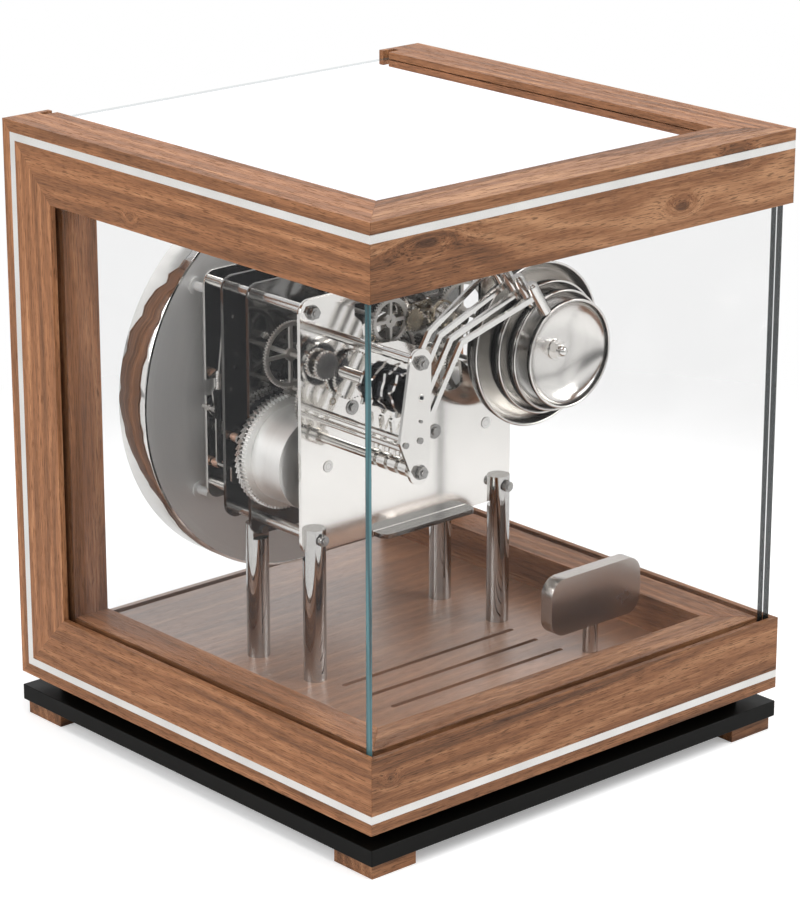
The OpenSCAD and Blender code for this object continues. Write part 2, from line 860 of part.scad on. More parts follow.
// An arbor whose pivots run in the centre plate and the back plate
module train_arbor(at, r) {
    bar(at, centre_plate_y + pivot_out, back_plate_y - plate_t - pivot_out, r);
    bar(at, centre_plate_y - plate_t - pivot_out, back_plate_y + pivot_out, pivot_r);
}

// An arbor whose rear pivot runs in the escapement platform, below the window in the back plate
module short_arbor(at, y_back) {
    bar(at, centre_plate_y + pivot_out, platform_y - platform_t - pivot_out, arbor_r);
    bar(at, centre_plate_y - plate_t - pivot_out, y_back, pivot_r);
}

module side_barrel() {
    color("lightgray") difference() {
        union() {
            wheel(chime_barrel_at, great_back, great_t, great_teeth, great_unit, 0);
            bar(chime_barrel_at, great_back - cut, drum_end, barrel_r);
        }
        bar(chime_barrel_at, great_back - great_t - cut, drum_end + cut, winding_r + pivot_fit);
        difference() {
            bar(chime_barrel_at, drum_end - lid_depth, drum_end + cut, barrel_r - lid_rim);
            bar(chime_barrel_at, drum_end - 2 * lid_depth, drum_end + lid_depth, winding_r + lid_boss);
        }
    }
}

module winding_arbor(at, ratchet, ratchet_y) {
    outline = [for (i = [0 : ratchet_teeth - 1], p = [[ratchet, 0], [ratchet - ratchet_depth, ratchet_lean]])
        polar(p[0], (i + p[1]) * 360 / ratchet_teeth)];
    color("silver") {
        bar(at, winding_end_y + square_l, back_plate_y + pivot_out, winding_r);
        upright(ratchet_y, great_t) translate(at) polygon(outline);
        translate([at[0], winding_end_y + square_l / 2 + cut, dial_z + at[1]])
            cube([square_w, square_l + 2 * cut, square_w], center = true);
    }
}

module chime_barrel() side_barrel();

module strike_barrel() mirror([1, 0, 0]) side_barrel();

module chime_arbor() winding_arbor(chime_barrel_at, ratchet_r, ratchet_back);

module strike_arbor() mirror([1, 0, 0]) winding_arbor(chime_barrel_at, ratchet_r, ratchet_back);

module time_arbor() winding_arbor(time_barrel_at, time_ratchet_r, ratchet_back);

module time_barrel() {
    color("lightgray") difference() {
        union() {
            wheel(time_barrel_at, time_great_back, great_t, time_great_teeth, great_unit, time_barrel_phase);
            bar(time_barrel_at, time_great_back - great_t - time_drum_l, time_great_back - cut, time_drum_r);
        }
        bar(time_barrel_at, centre_plate_y, back_plate_y, winding_r + pivot_fit);
    }
}

module second_wheel() {
    color("#b9b2a6") {
        train_arbor(second_at, arbor_r);
        pinion(second_at, great_back, great_t, great_pinion, great_unit, second_phase);
        open_wheel(second_at, rear_wheel_y, second_teeth, second_unit, second_phase);
    }
}

module third_wheel() {
    color("#b9b2a6") {
        train_arbor(third_at, arbor_r);
        pinion(third_at, rear_wheel_y, wheel_t, third_pinion, second_unit, third_phase);
        open_wheel(third_at, third_wheel_y, third_teeth, second_unit, third_phase);
    }
}

module chime_second_wheel() second_wheel();

module strike_second_wheel() mirror([1, 0, 0]) second_wheel();

module chime_third_wheel() {
    third_wheel();
    color("silver") {
        bar(third_at, back_plate_y + cut / 2, ratio_back, arbor_r);
        wheel(third_at, ratio_back, ratio_t, ratio_small_teeth, ratio_unit, third_phase);
    }
}

module strike_third_wheel() mirror([1, 0, 0]) third_wheel();

module chime_fourth_wheel() {
    color("#b9b2a6") {
        train_arbor(fourth_at, arbor_r);
        pinion(fourth_at, third_wheel_y, wheel_t, fourth_pinion, second_unit, fourth_phase);
        open_wheel(fourth_at, fourth_wheel_y, fourth_teeth, second_unit, fourth_phase);
    }
}

// A fan that slows a train: two flat blades on an arbor, driven by the wheel at wheel_y
module fly(wheel_y, phase, low, high) {
    translate([fly_at[0], (low + high) / 2, dial_z + fly_at[1]])
        cube([2 * fly_r, high - low, fly_t], center = true);
    short_arbor(fly_at, platform_y + pivot_out);
    pinion(fly_at, wheel_y, wheel_t, fly_pinion, second_unit, phase);
}

module chime_fly() {
    color("#b9b2a6") fly(fourth_wheel_y, fly_phase, fly_front, fly_back);
}

// The strike fan stands where the chime train has its fourth wheel
module strike_fly() {
    shift = fourth_at - fly_at;
    color("#b9b2a6") mirror([1, 0, 0]) translate([shift[0], 0, shift[1]])
        fly(third_wheel_y, fourth_phase, fly_front, third_wheel_y - 3 * wheel_t);
}

module centre_arbor() {
    color("#b9b2a6") {
        bar([0, 0], front_plate_y - plate_t - arbor_overlap, rear_wheel_y + arbor_overlap, centre_r);
        bar([0, 0], rear_wheel_y, back_plate_y + pivot_out, pivot_r);
        pinion([0, 0], time_great_back, great_t, centre_pinion, great_unit, 0);
        open_wheel([0, 0], rear_wheel_y, centre_teeth, centre_unit, 0);
        bar([0, 0], minute_hand_y - hand_t - hand_nut_t - arbor_overlap, front_plate_y, centre_thin_r);
    }
}

module third_time_wheel() {
    color("#b9b2a6") {
        train_arbor(time_third_at, arbor_r);
        pinion(time_third_at, rear_wheel_y, wheel_t, time_pinion, centre_unit, time_third_phase);
        open_wheel(time_third_at, time_third_y, time_third_teeth, centre_unit, time_third_phase);
    }
}

module fourth_time_wheel() {
    color("#b9b2a6") {
        short_arbor(time_fourth_at, rear_wheel_y + arbor_overlap);
        pinion(time_fourth_at, time_third_y, wheel_t, time_pinion, centre_unit, time_fourth_phase);
        open_wheel(time_fourth_at, rear_wheel_y, time_fourth_teeth, escape_unit, time_fourth_phase);
    }
}

// Escapement

waist_share = 0.96;

// A strip with round ends, which stand a hair wider than the strip between them
module link(a, b, w) {
    d = b - a;
    waist = w * waist_share;
    translate(a) rotate(atan2(d[1], d[0])) translate([0, -waist / 2]) square([norm(d), waist]);
    for (p = [a, b]) translate(p) circle(w / 2);
}

cock_foot = balance_at + polar(cock_reach, cock_angle);
leg_places = [cock_foot, escape_at + escape_leg, fly_at + fly_leg];

module escapement_platform() {
    color("#a9a59e") {
        upright(platform_y, platform_t) difference() {
            union() {
                link(balance_at, escape_at, platform_w);
                for (way = [[balance_at, cock_foot], [cock_foot, strike_fly_at], [escape_at, leg_places[1]],
                    [escape_at, time_fourth_at], [time_fourth_at, fly_at], [fly_at, leg_places[2]]])
                    link(way[0], way[1], arm_w);
            }
            for (at = [balance_at, pallet_at]) hole(at, staff_r);
            for (at = [escape_at, time_fourth_at, fly_at, strike_fly_at]) hole(at, pivot_r);
        }
        for (at = leg_places) bar(at, centre_plate_y, platform_y - platform_t + cut, platform_leg_r);
        bar(cock_foot, platform_y - cut, cock_y - cock_t + cut, cock_post_r);
        upright(cock_y, cock_t) difference() {
            link(cock_foot, balance_at, cock_w);
            hole(balance_at, staff_r);
        }
    }
}

module escape_wheel() {
    corners = [[escape_r, 0], [escape_r * escape_root_share, escape_lean]];
    points = [for (i = [0 : escape_teeth - 1], p = corners) polar(p[0], (i + p[1]) * 360 / escape_teeth)];
    pinion_back = rear_wheel_y + escape_pinion_step;
    color("gold") {
        bar(escape_at, platform_y - platform_t - pivot_out, escape_y + arbor_overlap, pivot_r);
        wheel(escape_at, pinion_back, wheel_t + escape_t, escape_pinion, escape_unit, escape_phase);
        upright(escape_y, escape_t) translate(escape_at) polygon(points);
    }
}

module pallet_lever() {
    toward = polar(1, balance_angle);
    across = polar(1, balance_angle + 90);
    color("silver") {
        bar(pallet_at, platform_y - platform_t - pivot_out, pallet_back, staff_r);
        upright(pallet_back, pallet_t) {
            link(pallet_at, pallet_at + fork_l * toward, pallet_w);
            link(pallet_at - pallet_reach * across, pallet_at + pallet_reach * across, pallet_w);
        }
    }
}

module balance_wheel() {
    color("gold") {
        bar(balance_at, platform_y - platform_t - pivot_out, cock_y + pivot_out, staff_r);
        upright(balance_y + balance_t, balance_t) translate(balance_at) {
            difference() {
                circle(balance_r);
                circle(balance_r - balance_rim);
            }
            circle(balance_hub_r);
            for (i = [0 : balance_spokes - 1]) rotate(balance_turn + i * 360 / balance_spokes)
                translate([0, -balance_spoke_w / 2]) square([balance_r - balance_rim / 2, balance_spoke_w]);
        }
    }
}

// Motion work, dial and hands

module minute_wheel() {
    color("#b9b2a6") {
        bar(minute_wheel_at, dial_plate_y - dial_plate_t - pivot_out, front_plate_y + pivot_out, pivot_r);
        wheel(minute_wheel_at, minute_wheel_y, wheel_t, minute_teeth, centre_unit, minute_phase);
        pinion(minute_wheel_at, hour_wheel_y, wheel_t, minute_pinion, hour_unit, minute_phase);
    }
}

module hour_wheel() {
    color("#b9b2a6") difference() {
        union() {
            wheel([0, 0], hour_wheel_y, wheel_t, hour_teeth, hour_unit, hour_phase);
            bar([0, 0], hour_hand_y - hand_t, hour_wheel_y - cut, hour_pipe_r);
        }
        bar([0, 0], hour_hand_y - 2 * hand_t, hour_wheel_y + cut, hour_pipe_bore);
    }
}

module hand_outline(length, rest, bore) {
    tail = length * hand_tail_share;
    difference() {
        union() {
            rotate(90 - rest) polygon([
                [-tail, -hand_w / 2], [0, -hand_w / 2], [length, -hand_w * hand_tip_share / 2],
                [length, hand_w * hand_tip_share / 2], [0, hand_w / 2], [-tail, hand_w / 2]
            ]);
            circle(hub_r);
        }
        circle(bore);
    }
}

module hour_hand() {
    color("#20242c") upright(hour_hand_y, hand_t) hand_outline(hour_l, hour_rest, hour_pipe_r);
}

// The minute hand sits on the cannon pinion's pipe, which slips on the centre arbor when the hands are set
module minute_hand() {
    color("#20242c") {
        upright(minute_hand_y, hand_t) hand_outline(minute_l, minute_rest, centre_thin_r + pivot_fit);
        difference() {
            union() {
                pinion([0, 0], minute_wheel_y, wheel_t, cannon_teeth, centre_unit, 0);
                bar([0, 0], minute_hand_y, minute_wheel_y, cannon_r);
            }
            bar([0, 0], minute_hand_y - pipe_end, minute_wheel_y + cannon_seat, centre_thin_r + pivot_fit);
        }
    }
}

feet_x = 69;
feet_z = [-47.5, 62];
foot_pin_r = 2.3;
foot_boss_r = 4.5;
foot_boss_t = 1.2;
dial_pipe_room = 1;

module dial_disc() {
    color("#9fa3a6") {
        upright(dial_back_y, dial_t) difference() {
            circle(dial_r - dial_wall - pivot_fit, $fn = round_steps);
            for (side = [-1, 1]) translate([side * barrel_x, barrel_z]) circle(dial_hole_r);
            translate(time_barrel_at) circle(dial_hole_r);
            circle(hour_pipe_r + dial_pipe_room);
        }
        for (x = [-feet_x, feet_x], z = feet_z) {
            bar([x, z], dial_back_y - cut, dial_plate_y - dial_plate_t, foot_pin_r);
            bar([x, z], dial_back_y - cut, dial_back_y + foot_boss_t, foot_boss_r);
        }
    }
}

module dial_rim() {
    color("silver") upright(dial_back_y, dial_drum_d) difference() {
        circle(dial_r, $fn = round_steps);
        circle(dial_r - dial_wall, $fn = round_steps);
    }
    color("silver") upright(dial_back_y - dial_drum_d, dial_wall) difference() {
        circle(dial_r, $fn = round_steps);
        circle(dial_r - 3 * dial_wall, $fn = round_steps);
    }
}

marker_l = 12;
marker_w = 3;
marker_t = 1;
chapter_t = 1.2;
chapter_gap = 1;
chapter_r = dial_r - dial_wall - chapter_gap;
marker_count = 12;

module chapter_ring() {
    front = dial_back_y - dial_t;
    color("gainsboro") upright(front, chapter_t) difference() {
        circle(chapter_r, $fn = round_steps);
        circle(chapter_r - chapter_w, $fn = round_steps);
    }
    color("#20242c") upright(front - chapter_t, marker_t) for (i = [0 : marker_count - 1])
        rotate(i * 360 / marker_count) translate([chapter_r - chapter_w / 2 - marker_l / 2, -marker_w / 2])
            square([marker_l, marker_w]);
}

// Strike levers between the dial plate and the front plate
lever_t = 1.2;
lever_y = [-56.2, -60.5];
lever_w = 3.4;
stud_r = 1.15;
lever_foot = [68, -30];
lever_paths = [
    [[66, 44], [69, 21]], [[69, 21], [60, 14]],
    [[68, -5], [70, 9]], [[70, 9], [60, 15]], [lever_foot, [68, -5]], [[68, -5], [73, 1]]
];
stop_bar = [73, 1];
stop_bar_y = [-66.5, -56.5];
stop_bar_r = 1.4;
// The release lever and the foot of the long lever lie behind the front plate
release_path = [[67, -13], [50, -4]];
release_back = -43.5;
release_w = 6.4;
foot_back = -47;
foot_outline = [[71, -28], [62, -27], [61, -28.5], [61, -35], [68.5, -37.5], [71, -35.5]];

module lifting_levers() {
    color("#8e8a84") {
        for (i = [0 : 1]) upright(lever_y[0], lever_t) link(lever_paths[i][0], lever_paths[i][1], lever_w);
        for (i = [2 : 5]) upright(lever_y[1], lever_t) link(lever_paths[i][0], lever_paths[i][1], lever_w);
        bar(stop_bar, stop_bar_y[0], stop_bar_y[1], stop_bar_r, $fn = 6);
        upright(release_back, lever_t) link(release_path[0], release_path[1], release_w);
        upright(foot_back, lever_t) polygon(foot_outline);
    }
    color("#b98a6a") {
        for (at = [lever_paths[1][1], lever_paths[3][1]])
            bar(at, dial_plate_y, front_plate_y - plate_t, stud_r);
        bar(lever_foot, dial_plate_y, foot_back, stud_r);
        bar(release_path[0], front_plate_y, release_back, stud_r);
    }
}

// Chime drum, hammers and bells

cam_rise_angle = 15;
cam_fall_angle = 9;
cam_nose_angle = 2;
cam_turn = 37;
cam_lobe_shares = [0.03, 0.15, 0.3, 0.42, 0.58, 0.7, 0.86];

module cam_outline(turn) {
    circle(cam_base_r);
    for (s = cam_lobe_shares) rotate(turn + s * 360) polygon([
        [0, 0], polar(cam_base_r, -cam_rise_angle), polar(cam_r, 0), polar(cam_r, cam_nose_angle),
        polar(cam_base_r, cam_fall_angle)
    ]);
}

module chime_drum() {
    color("#3c3f42") {
        bar(drum_at, core_front, core_back, drum_core_r);
        for (i = [0 : 3]) upright(last_hammer_y - i * hammer_pitch + cam_t / 2, cam_t)
            translate(drum_at) cam_outline(i * cam_turn);
    }
    color("silver") {
        bar(drum_at, ratio_back - cut, core_front + cut, sleeve_r);
        bar(drum_at, back_plate_y - plate_t - pivot_out, bracket_y + bracket_t + pivot_out, pivot_r);
        wheel(drum_at, ratio_back, ratio_t, ratio_large_teeth, ratio_unit, drum_phase);
    }
}

module chime_bracket() {
    corner = drum_at + bracket_corner;
    color("#b9b5b0") upright(bracket_y + bracket_t, bracket_t) difference() {
        union() {
            translate(top_rod_at) circle(bracket_top_r);
            translate(hammer_at) circle(bracket_low_r);
            polygon([
                top_rod_at + [bracket_top_r, 0], top_rod_at - [bracket_top_r, 0],
                hammer_at - [bracket_low_r, 0], hammer_at + polar(bracket_low_r, -60), corner
            ]);
        }
        hole(drum_at, pivot_r);
    }
}

module chime_rods() {
    color("silver") {
        for (at = [top_rod_at, hammer_at]) bar(at, back_plate_y, bracket_y, rod_r);
        for (i = [0, 1]) bar(stop_rod_at + i * stop_rod_step, back_plate_y, bracket_y, stop_rod_r);
    }
}

// A hammer lifts by turning clockwise, seen from the front, about the lower rod
module hammer(i) {
    y = last_hammer_y - i * hammer_pitch;
    inward = -polar(1, head_angle);
    tip = bell_at - (bell_radii[i] + strike_gap) * inward;
    grip = tip - hammer_grip_share * hammer_head_l * inward;
    color("#c4bfb8") {
        difference() {
            union() {
                bar(hammer_at, y - hammer_hub_l / 2, y + hammer_hub_l / 2, hammer_hub_r);
                upright(y + hammer_arm_t / 2, hammer_arm_t) {
                    link(hammer_at, hammer_at + hammer_bend, hammer_arm_w);
                    link(hammer_at + hammer_bend, grip, hammer_arm_w);
                    link(hammer_at, hammer_at + lifter_end, lifter_w);
                }
            }
            bar(hammer_at, y - hammer_hub_l, y + hammer_hub_l, rod_r + pivot_fit);
        }
        translate([tip[0], y, dial_z + tip[1]]) rotate([0, 90 - head_angle, 0]) {
            cylinder(h = hammer_head_l, r = hammer_head_r);
            cylinder(h = hammer_head_l + hammer_collar_l, r = hammer_collar_r);
            cylinder(h = hammer_head_l + hammer_screw_l, r = hammer_screw_r);
        }
    }
}

module hammer_1() hammer(0);

module hammer_2() hammer(1);

module hammer_3() hammer(2);

module hammer_4() hammer(3);

// Half section of a bell: a bowl whose rim is at height 0 and whose bottom is below it
function bowl_side(r, d) = [for (i = [0 : bell_steps]) let (a = 90 * i / bell_steps)
    [bell_flat_r + (r - bell_flat_r) * pow(sin(a), bell_curve), -d * pow(cos(a), bell_curve)]];
function backwards(list) = [for (i = [len(list) - 1 : -1 : 0]) list[i]];
function bowl(r, d, t) =
    concat([[0, -d]], bowl_side(r, d), backwards(bowl_side(r - t, d - t)), [[0, -d + t]]);

module bells() {
    color("#d8d5d0") for (i = [0 : 3])
        translate([bell_at[0], first_rim_y - i * hammer_pitch, dial_z + bell_at[1]])
            rotate([-90, 0, 0]) difference() {
                rotate_extrude($fn = round_steps) polygon(bowl(bell_radii[i], bell_depths[i], bell_t));
                translate([0, 0, -2 * bell_depths[i]]) cylinder(h = 2 * bell_depths[i], r = bell_post_r);
            }
}

// The bells hang on one post, with a collar under each and a domed nut on top
module bell_stand() {
    low = [for (i = [0 : 3]) first_rim_y - i * hammer_pitch - bell_depths[i]];
    color("silver") {
        bar(bell_at, back_plate_y, low[0] + bell_t, bell_post_r);
        bar(bell_at, back_plate_y, low[3], bell_spacer_r);
        for (i = [0 : 2]) bar(bell_at, low[i + 1] + bell_t, low[i], bell_spacer_r);
        bar(bell_at, low[0] + bell_t, low[0] + bell_t + bell_washer_t, bell_washer_r);
        bar(bell_at, low[0] + bell_t, low[0] + bell_t + bell_nut_l, bell_nut_r, $fn = 6);
        translate([bell_at[0], low[0] + bell_t + bell_nut_l, dial_z + bell_at[1]]) intersection() {
            sphere(r = bell_nut_r * nut_dome_share);
            translate([-bell_nut_r, 0, -bell_nut_r]) cube(2 * bell_nut_r);
        }
    }
}

module winding_key() {
    corner = key_h * key_corner_share;
    color("#8f8a84") translate([key_at[0], key_at[1], floor_z]) {
        difference() {
            translate([0, 0, -key_stem_in]) cylinder(h = key_stem_in + key_lift + key_h / 2, r = key_stem_r);
            translate([-key_socket_w / 2, -key_socket_w / 2, -key_stem_in - cut])
                cube([key_socket_w, key_socket_w, square_l + cut]);
        }
        translate([0, key_t / 2, key_lift]) rotate([90, 0, 0]) linear_extrude(key_t) {
            translate([-key_w / 2 + corner, 0]) square([key_w - 2 * corner, key_h]);
            translate([-key_w / 2, corner]) square([key_w, key_h - 2 * corner]);
            for (x = [-key_w / 2 + corner, key_w / 2 - corner], z = [corner, key_h - corner])
                translate([x, z]) circle(corner);
        }
    }
}

feet();
plinth_board();
floor_board();
front_posts();
side_bottom_rails();
side_top_rails();
rear_top_rail();
rear_bottom_rail();
inlay_lines();
side_glass();
rear_glass();
top_glass();
front_glass();
winding_key();
support_posts();
back_plate();
centre_plate();
front_plate();
dial_plate();
plate_pillars();
fixing_screws();
dial_disc();
dial_rim();
chapter_ring();
hour_hand();
minute_hand();
hour_wheel();
minute_wheel();
centre_arbor();
time_barrel();
time_arbor();
third_time_wheel();
fourth_time_wheel();
escape_wheel();
pallet_lever();
balance_wheel();
escapement_platform();
lifting_levers();
chime_barrel();
chime_arbor();
chime_second_wheel();
chime_third_wheel();
chime_fourth_wheel();
chime_fly();
chime_drum();
chime_bracket();
chime_rods();
hammer_1();
hammer_2();
hammer_3();
hammer_4();
bells();
bell_stand();
strike_barrel();
strike_arbor();
strike_second_wheel();
strike_third_wheel();
strike_fly();
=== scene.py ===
import json
import math

import bmesh
import bpy
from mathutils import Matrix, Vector


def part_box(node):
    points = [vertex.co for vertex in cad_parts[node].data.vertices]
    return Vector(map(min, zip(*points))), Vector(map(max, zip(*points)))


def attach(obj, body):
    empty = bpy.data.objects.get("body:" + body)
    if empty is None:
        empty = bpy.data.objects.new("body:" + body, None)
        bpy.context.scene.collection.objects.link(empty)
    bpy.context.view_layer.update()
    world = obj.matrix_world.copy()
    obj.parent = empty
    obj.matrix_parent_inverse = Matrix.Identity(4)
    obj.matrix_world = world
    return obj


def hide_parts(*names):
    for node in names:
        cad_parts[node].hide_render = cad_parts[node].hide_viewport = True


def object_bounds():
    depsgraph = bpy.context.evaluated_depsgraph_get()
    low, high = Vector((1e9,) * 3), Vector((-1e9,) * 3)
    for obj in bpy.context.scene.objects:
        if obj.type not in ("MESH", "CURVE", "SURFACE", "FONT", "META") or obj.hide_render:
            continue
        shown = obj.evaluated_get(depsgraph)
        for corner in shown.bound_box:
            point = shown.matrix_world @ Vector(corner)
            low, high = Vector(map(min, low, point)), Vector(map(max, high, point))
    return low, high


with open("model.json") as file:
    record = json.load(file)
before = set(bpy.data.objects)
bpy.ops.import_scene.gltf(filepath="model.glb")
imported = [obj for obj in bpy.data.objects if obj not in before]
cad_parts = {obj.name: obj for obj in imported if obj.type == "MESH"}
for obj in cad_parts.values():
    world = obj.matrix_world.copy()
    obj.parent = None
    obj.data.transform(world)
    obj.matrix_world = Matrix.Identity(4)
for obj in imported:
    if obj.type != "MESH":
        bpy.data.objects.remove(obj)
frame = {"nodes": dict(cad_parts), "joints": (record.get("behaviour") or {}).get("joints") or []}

bl_info = {
    "name": "Glazed Table Clock",
    "version": (1, 0, 0),
    "blender": (4, 5, 0),
    "location": "3D View > Sidebar > Clock",
    "description": "Finishes the wood, glass, metal and dial of a glazed table clock",
    "category": "Object",
}

CAD_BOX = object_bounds()
LOW = CAD_BOX[0]
MM = 0.001


# Places read from the frame

def middle(node):
    """Centre of a CAD node's box."""
    low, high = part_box(node)
    return (low + high) / 2


def joint_place(name):
    """Where a joint's axis stands, in the clock's own frame."""
    joint = next(j for j in frame["joints"] if j["name"] == name)
    return Vector(joint["pos_m"])


ARBOR = joint_place("centre_turn")
BALANCE = joint_place("balance_swing")
CHIME_BARREL = joint_place("chime_barrel_turn")
STRIKE_BARREL = joint_place("strike_barrel_turn")
TIME_BARREL = joint_place("time_barrel_turn")
CHIME_DRUM = joint_place("chime_cam_turn")
BELL_AXIS = middle("bell_stand")
BARRELS = (CHIME_BARREL, STRIKE_BARREL, TIME_BARREL)
# Every bell's rim, radius, depth and how full its bowl is
BELL_SIZES = ((0.0575, 0.0287, 0.012, 1.0), (0.0495, 0.0319, 0.017, 0.82),
              (0.0415, 0.0351, 0.019, 0.82), (0.0335, 0.0435, 0.020, 0.82))
BELL_WALL = 0.0012
# Height of the plinth and feet that the frame stands on
BASE_HEIGHT = 0.0235
# Rear faces of the plates, in millimetres from the middle of the case
BACK_FACE, PLATFORM_FACE, COCK_FACE = 9.0, 0.0, 11.5
CENTRE_FACE, FRONT_FACE, DIAL_PLATE_FACE, BRACKET_FACE = -31.0, -51.0, -66.0, 63.8
# Screws of those plates, in millimetres across and up from the hand arbor
CENTRE_SCREWS = ((61, 44), (60, 29), (64, 6), (66, -8), (-61, 44), (-64, 6), (20, 60), (-20, 60))
FRONT_SCREWS = ((64, 50), (62, 30), (66, 12), (65, -36), (-64, 50), (-65, -36), (44, 58), (30, 40))
DIAL_PLATE_SCREWS = ((56, 60), (-56, 60), (50, -40), (-50, -40))
# From the balance's axis to the screw of its cock
COCK_SCREW = Vector((-0.0127, 0.0, -0.0046))
BRIGHT_STEEL = (0.80, 0.785, 0.76)
# How far the minute dots stand from the hand arbor
DOT_REACH = 0.0985


# Material building

class Field:
    """A value that varies over a surface. Arithmetic on it adds Math nodes."""

    def __init__(self, tree, socket):
        self.tree = tree
        self.socket = socket

    def math(self, operation, *values, clamp=False):
        node = self.tree.nodes.new("ShaderNodeMath")
        node.operation = operation
        node.use_clamp = clamp
        for slot, value in zip(node.inputs, (self, *values)):
            connect(self.tree, slot, value)
        return Field(self.tree, node.outputs[0])

    def __add__(self, other):
        return self.math("ADD", other)

    __radd__ = __add__

    def __sub__(self, other):
        return self.math("SUBTRACT", other)

    def __rsub__(self, other):
        return (self * -1) + other

    def __mul__(self, other):
        return self.math("MULTIPLY", other)

    __rmul__ = __mul__

    def __truediv__(self, other):
        return self.math("DIVIDE", other)

    def __rtruediv__(self, other):
        return (self ** -1.0) * other

    def __neg__(self):
        return self * -1

    def __pow__(self, other):
        return self.math("POWER", other)

    def __abs__(self):
        return self.math("ABSOLUTE")

    def above(self, low, high):
        """0 below low, 1 above high, smooth between them."""
        node = self.tree.nodes.new("ShaderNodeMapRange")
        node.interpolation_type = "SMOOTHSTEP"
        connect(self.tree, node.inputs[0], self)
        node.inputs[1].default_value = low
        node.inputs[2].default_value = high
        return Field(self.tree, node.outputs[0])

    def below(self, low, high):
        return 1 - self.above(low, high)


def connect(tree, socket, value):
    """Links a field to a socket, or sets a plain value on it."""
    if isinstance(value, Field):
        tree.links.new(value.socket, socket)
    else:
        socket.default_value = value


class Finish:
    """A material being made, with short ways to add the nodes it needs."""

    def __init__(self, name, rough=0.4, metal=0.0, colour=(0.5, 0.5, 0.5)):
        self.material = bpy.data.materials.new(name)
        self.material.use_nodes = True
        self.tree = self.material.node_tree
        self.shader = self.tree.nodes["Principled BSDF"]
        self.set("Roughness", rough)
        self.set("Metallic", metal)
        self.set("Base Color", (*colour, 1.0))

    def set(self, socket, value):
        connect(self.tree, self.shader.inputs[socket], value)

    def node(self, kind, settings=None, sockets=None, output=0):
        """Any node: its type, its settings, then the values or links of its sockets."""
        node = self.tree.nodes.new(kind)
        for key, value in (settings or {}).items():
            if key == "stops":
                ramp = node.color_ramp
                while len(ramp.elements) < len(value):
                    ramp.elements.new(1.0)
                for element, (place, shade) in zip(ramp.elements, value):
                    element.position = place
                    element.color = (*shade, 1.0)
            else:
                setattr(node, key, value)
        for key, value in (sockets or {}).items():
            connect(self.tree, node.inputs[key], value)
        return Field(self.tree, node.outputs[output])

    def place(self, scale=(1, 1, 1), shift=(0, 0, 0), turn=(0, 0, 0)):
        """The object's own coordinates, scaled, shifted and turned."""
        raw = self.node("ShaderNodeTexCoord", output="Object")
        return self.node("ShaderNodeMapping", {}, {
            "Vector": raw, "Scale": scale, "Location": shift, "Rotation": turn})

    def parts(self, vector):
        """The three coordinates of a vector as separate fields."""
        split = self.tree.nodes.new("ShaderNodeSeparateXYZ")
        connect(self.tree, split.inputs[0], vector)
        return [Field(self.tree, out) for out in split.outputs]

    def join(self, x, y, z):
        return self.node("ShaderNodeCombineXYZ", {}, {"X": x, "Y": y, "Z": z})

    def noise(self, vector, scale, detail=3.0, rough=0.5, bend=0.0):
        return self.node("ShaderNodeTexNoise", {}, {
            "Vector": vector, "Scale": scale, "Detail": detail, "Roughness": rough, "Distortion": bend})

    def ramp(self, factor, stops):
        return self.node("ShaderNodeValToRGB", {"stops": stops}, {"Fac": factor})

    def blend(self, factor, first, second, way="MIX"):
        """Colour first where factor is 0 and second where it is 1."""
        node = self.tree.nodes.new("ShaderNodeMix")
        node.data_type = "RGBA"
        node.blend_type = way
        for slot, value in ((0, factor), (6, first), (7, second)):
            plain = not isinstance(value, Field) and slot
            connect(self.tree, node.inputs[slot], (*value, 1.0) if plain else value)
        return Field(self.tree, node.outputs[2])

    def bump(self, height, depth, strength=1.0):
        """Surface relief: height is 0 to 1 and depth is in metres."""
        relief = self.node("ShaderNodeBump", {}, {"Height": height, "Distance": depth, "Strength": strength})
        self.set("Normal", relief)


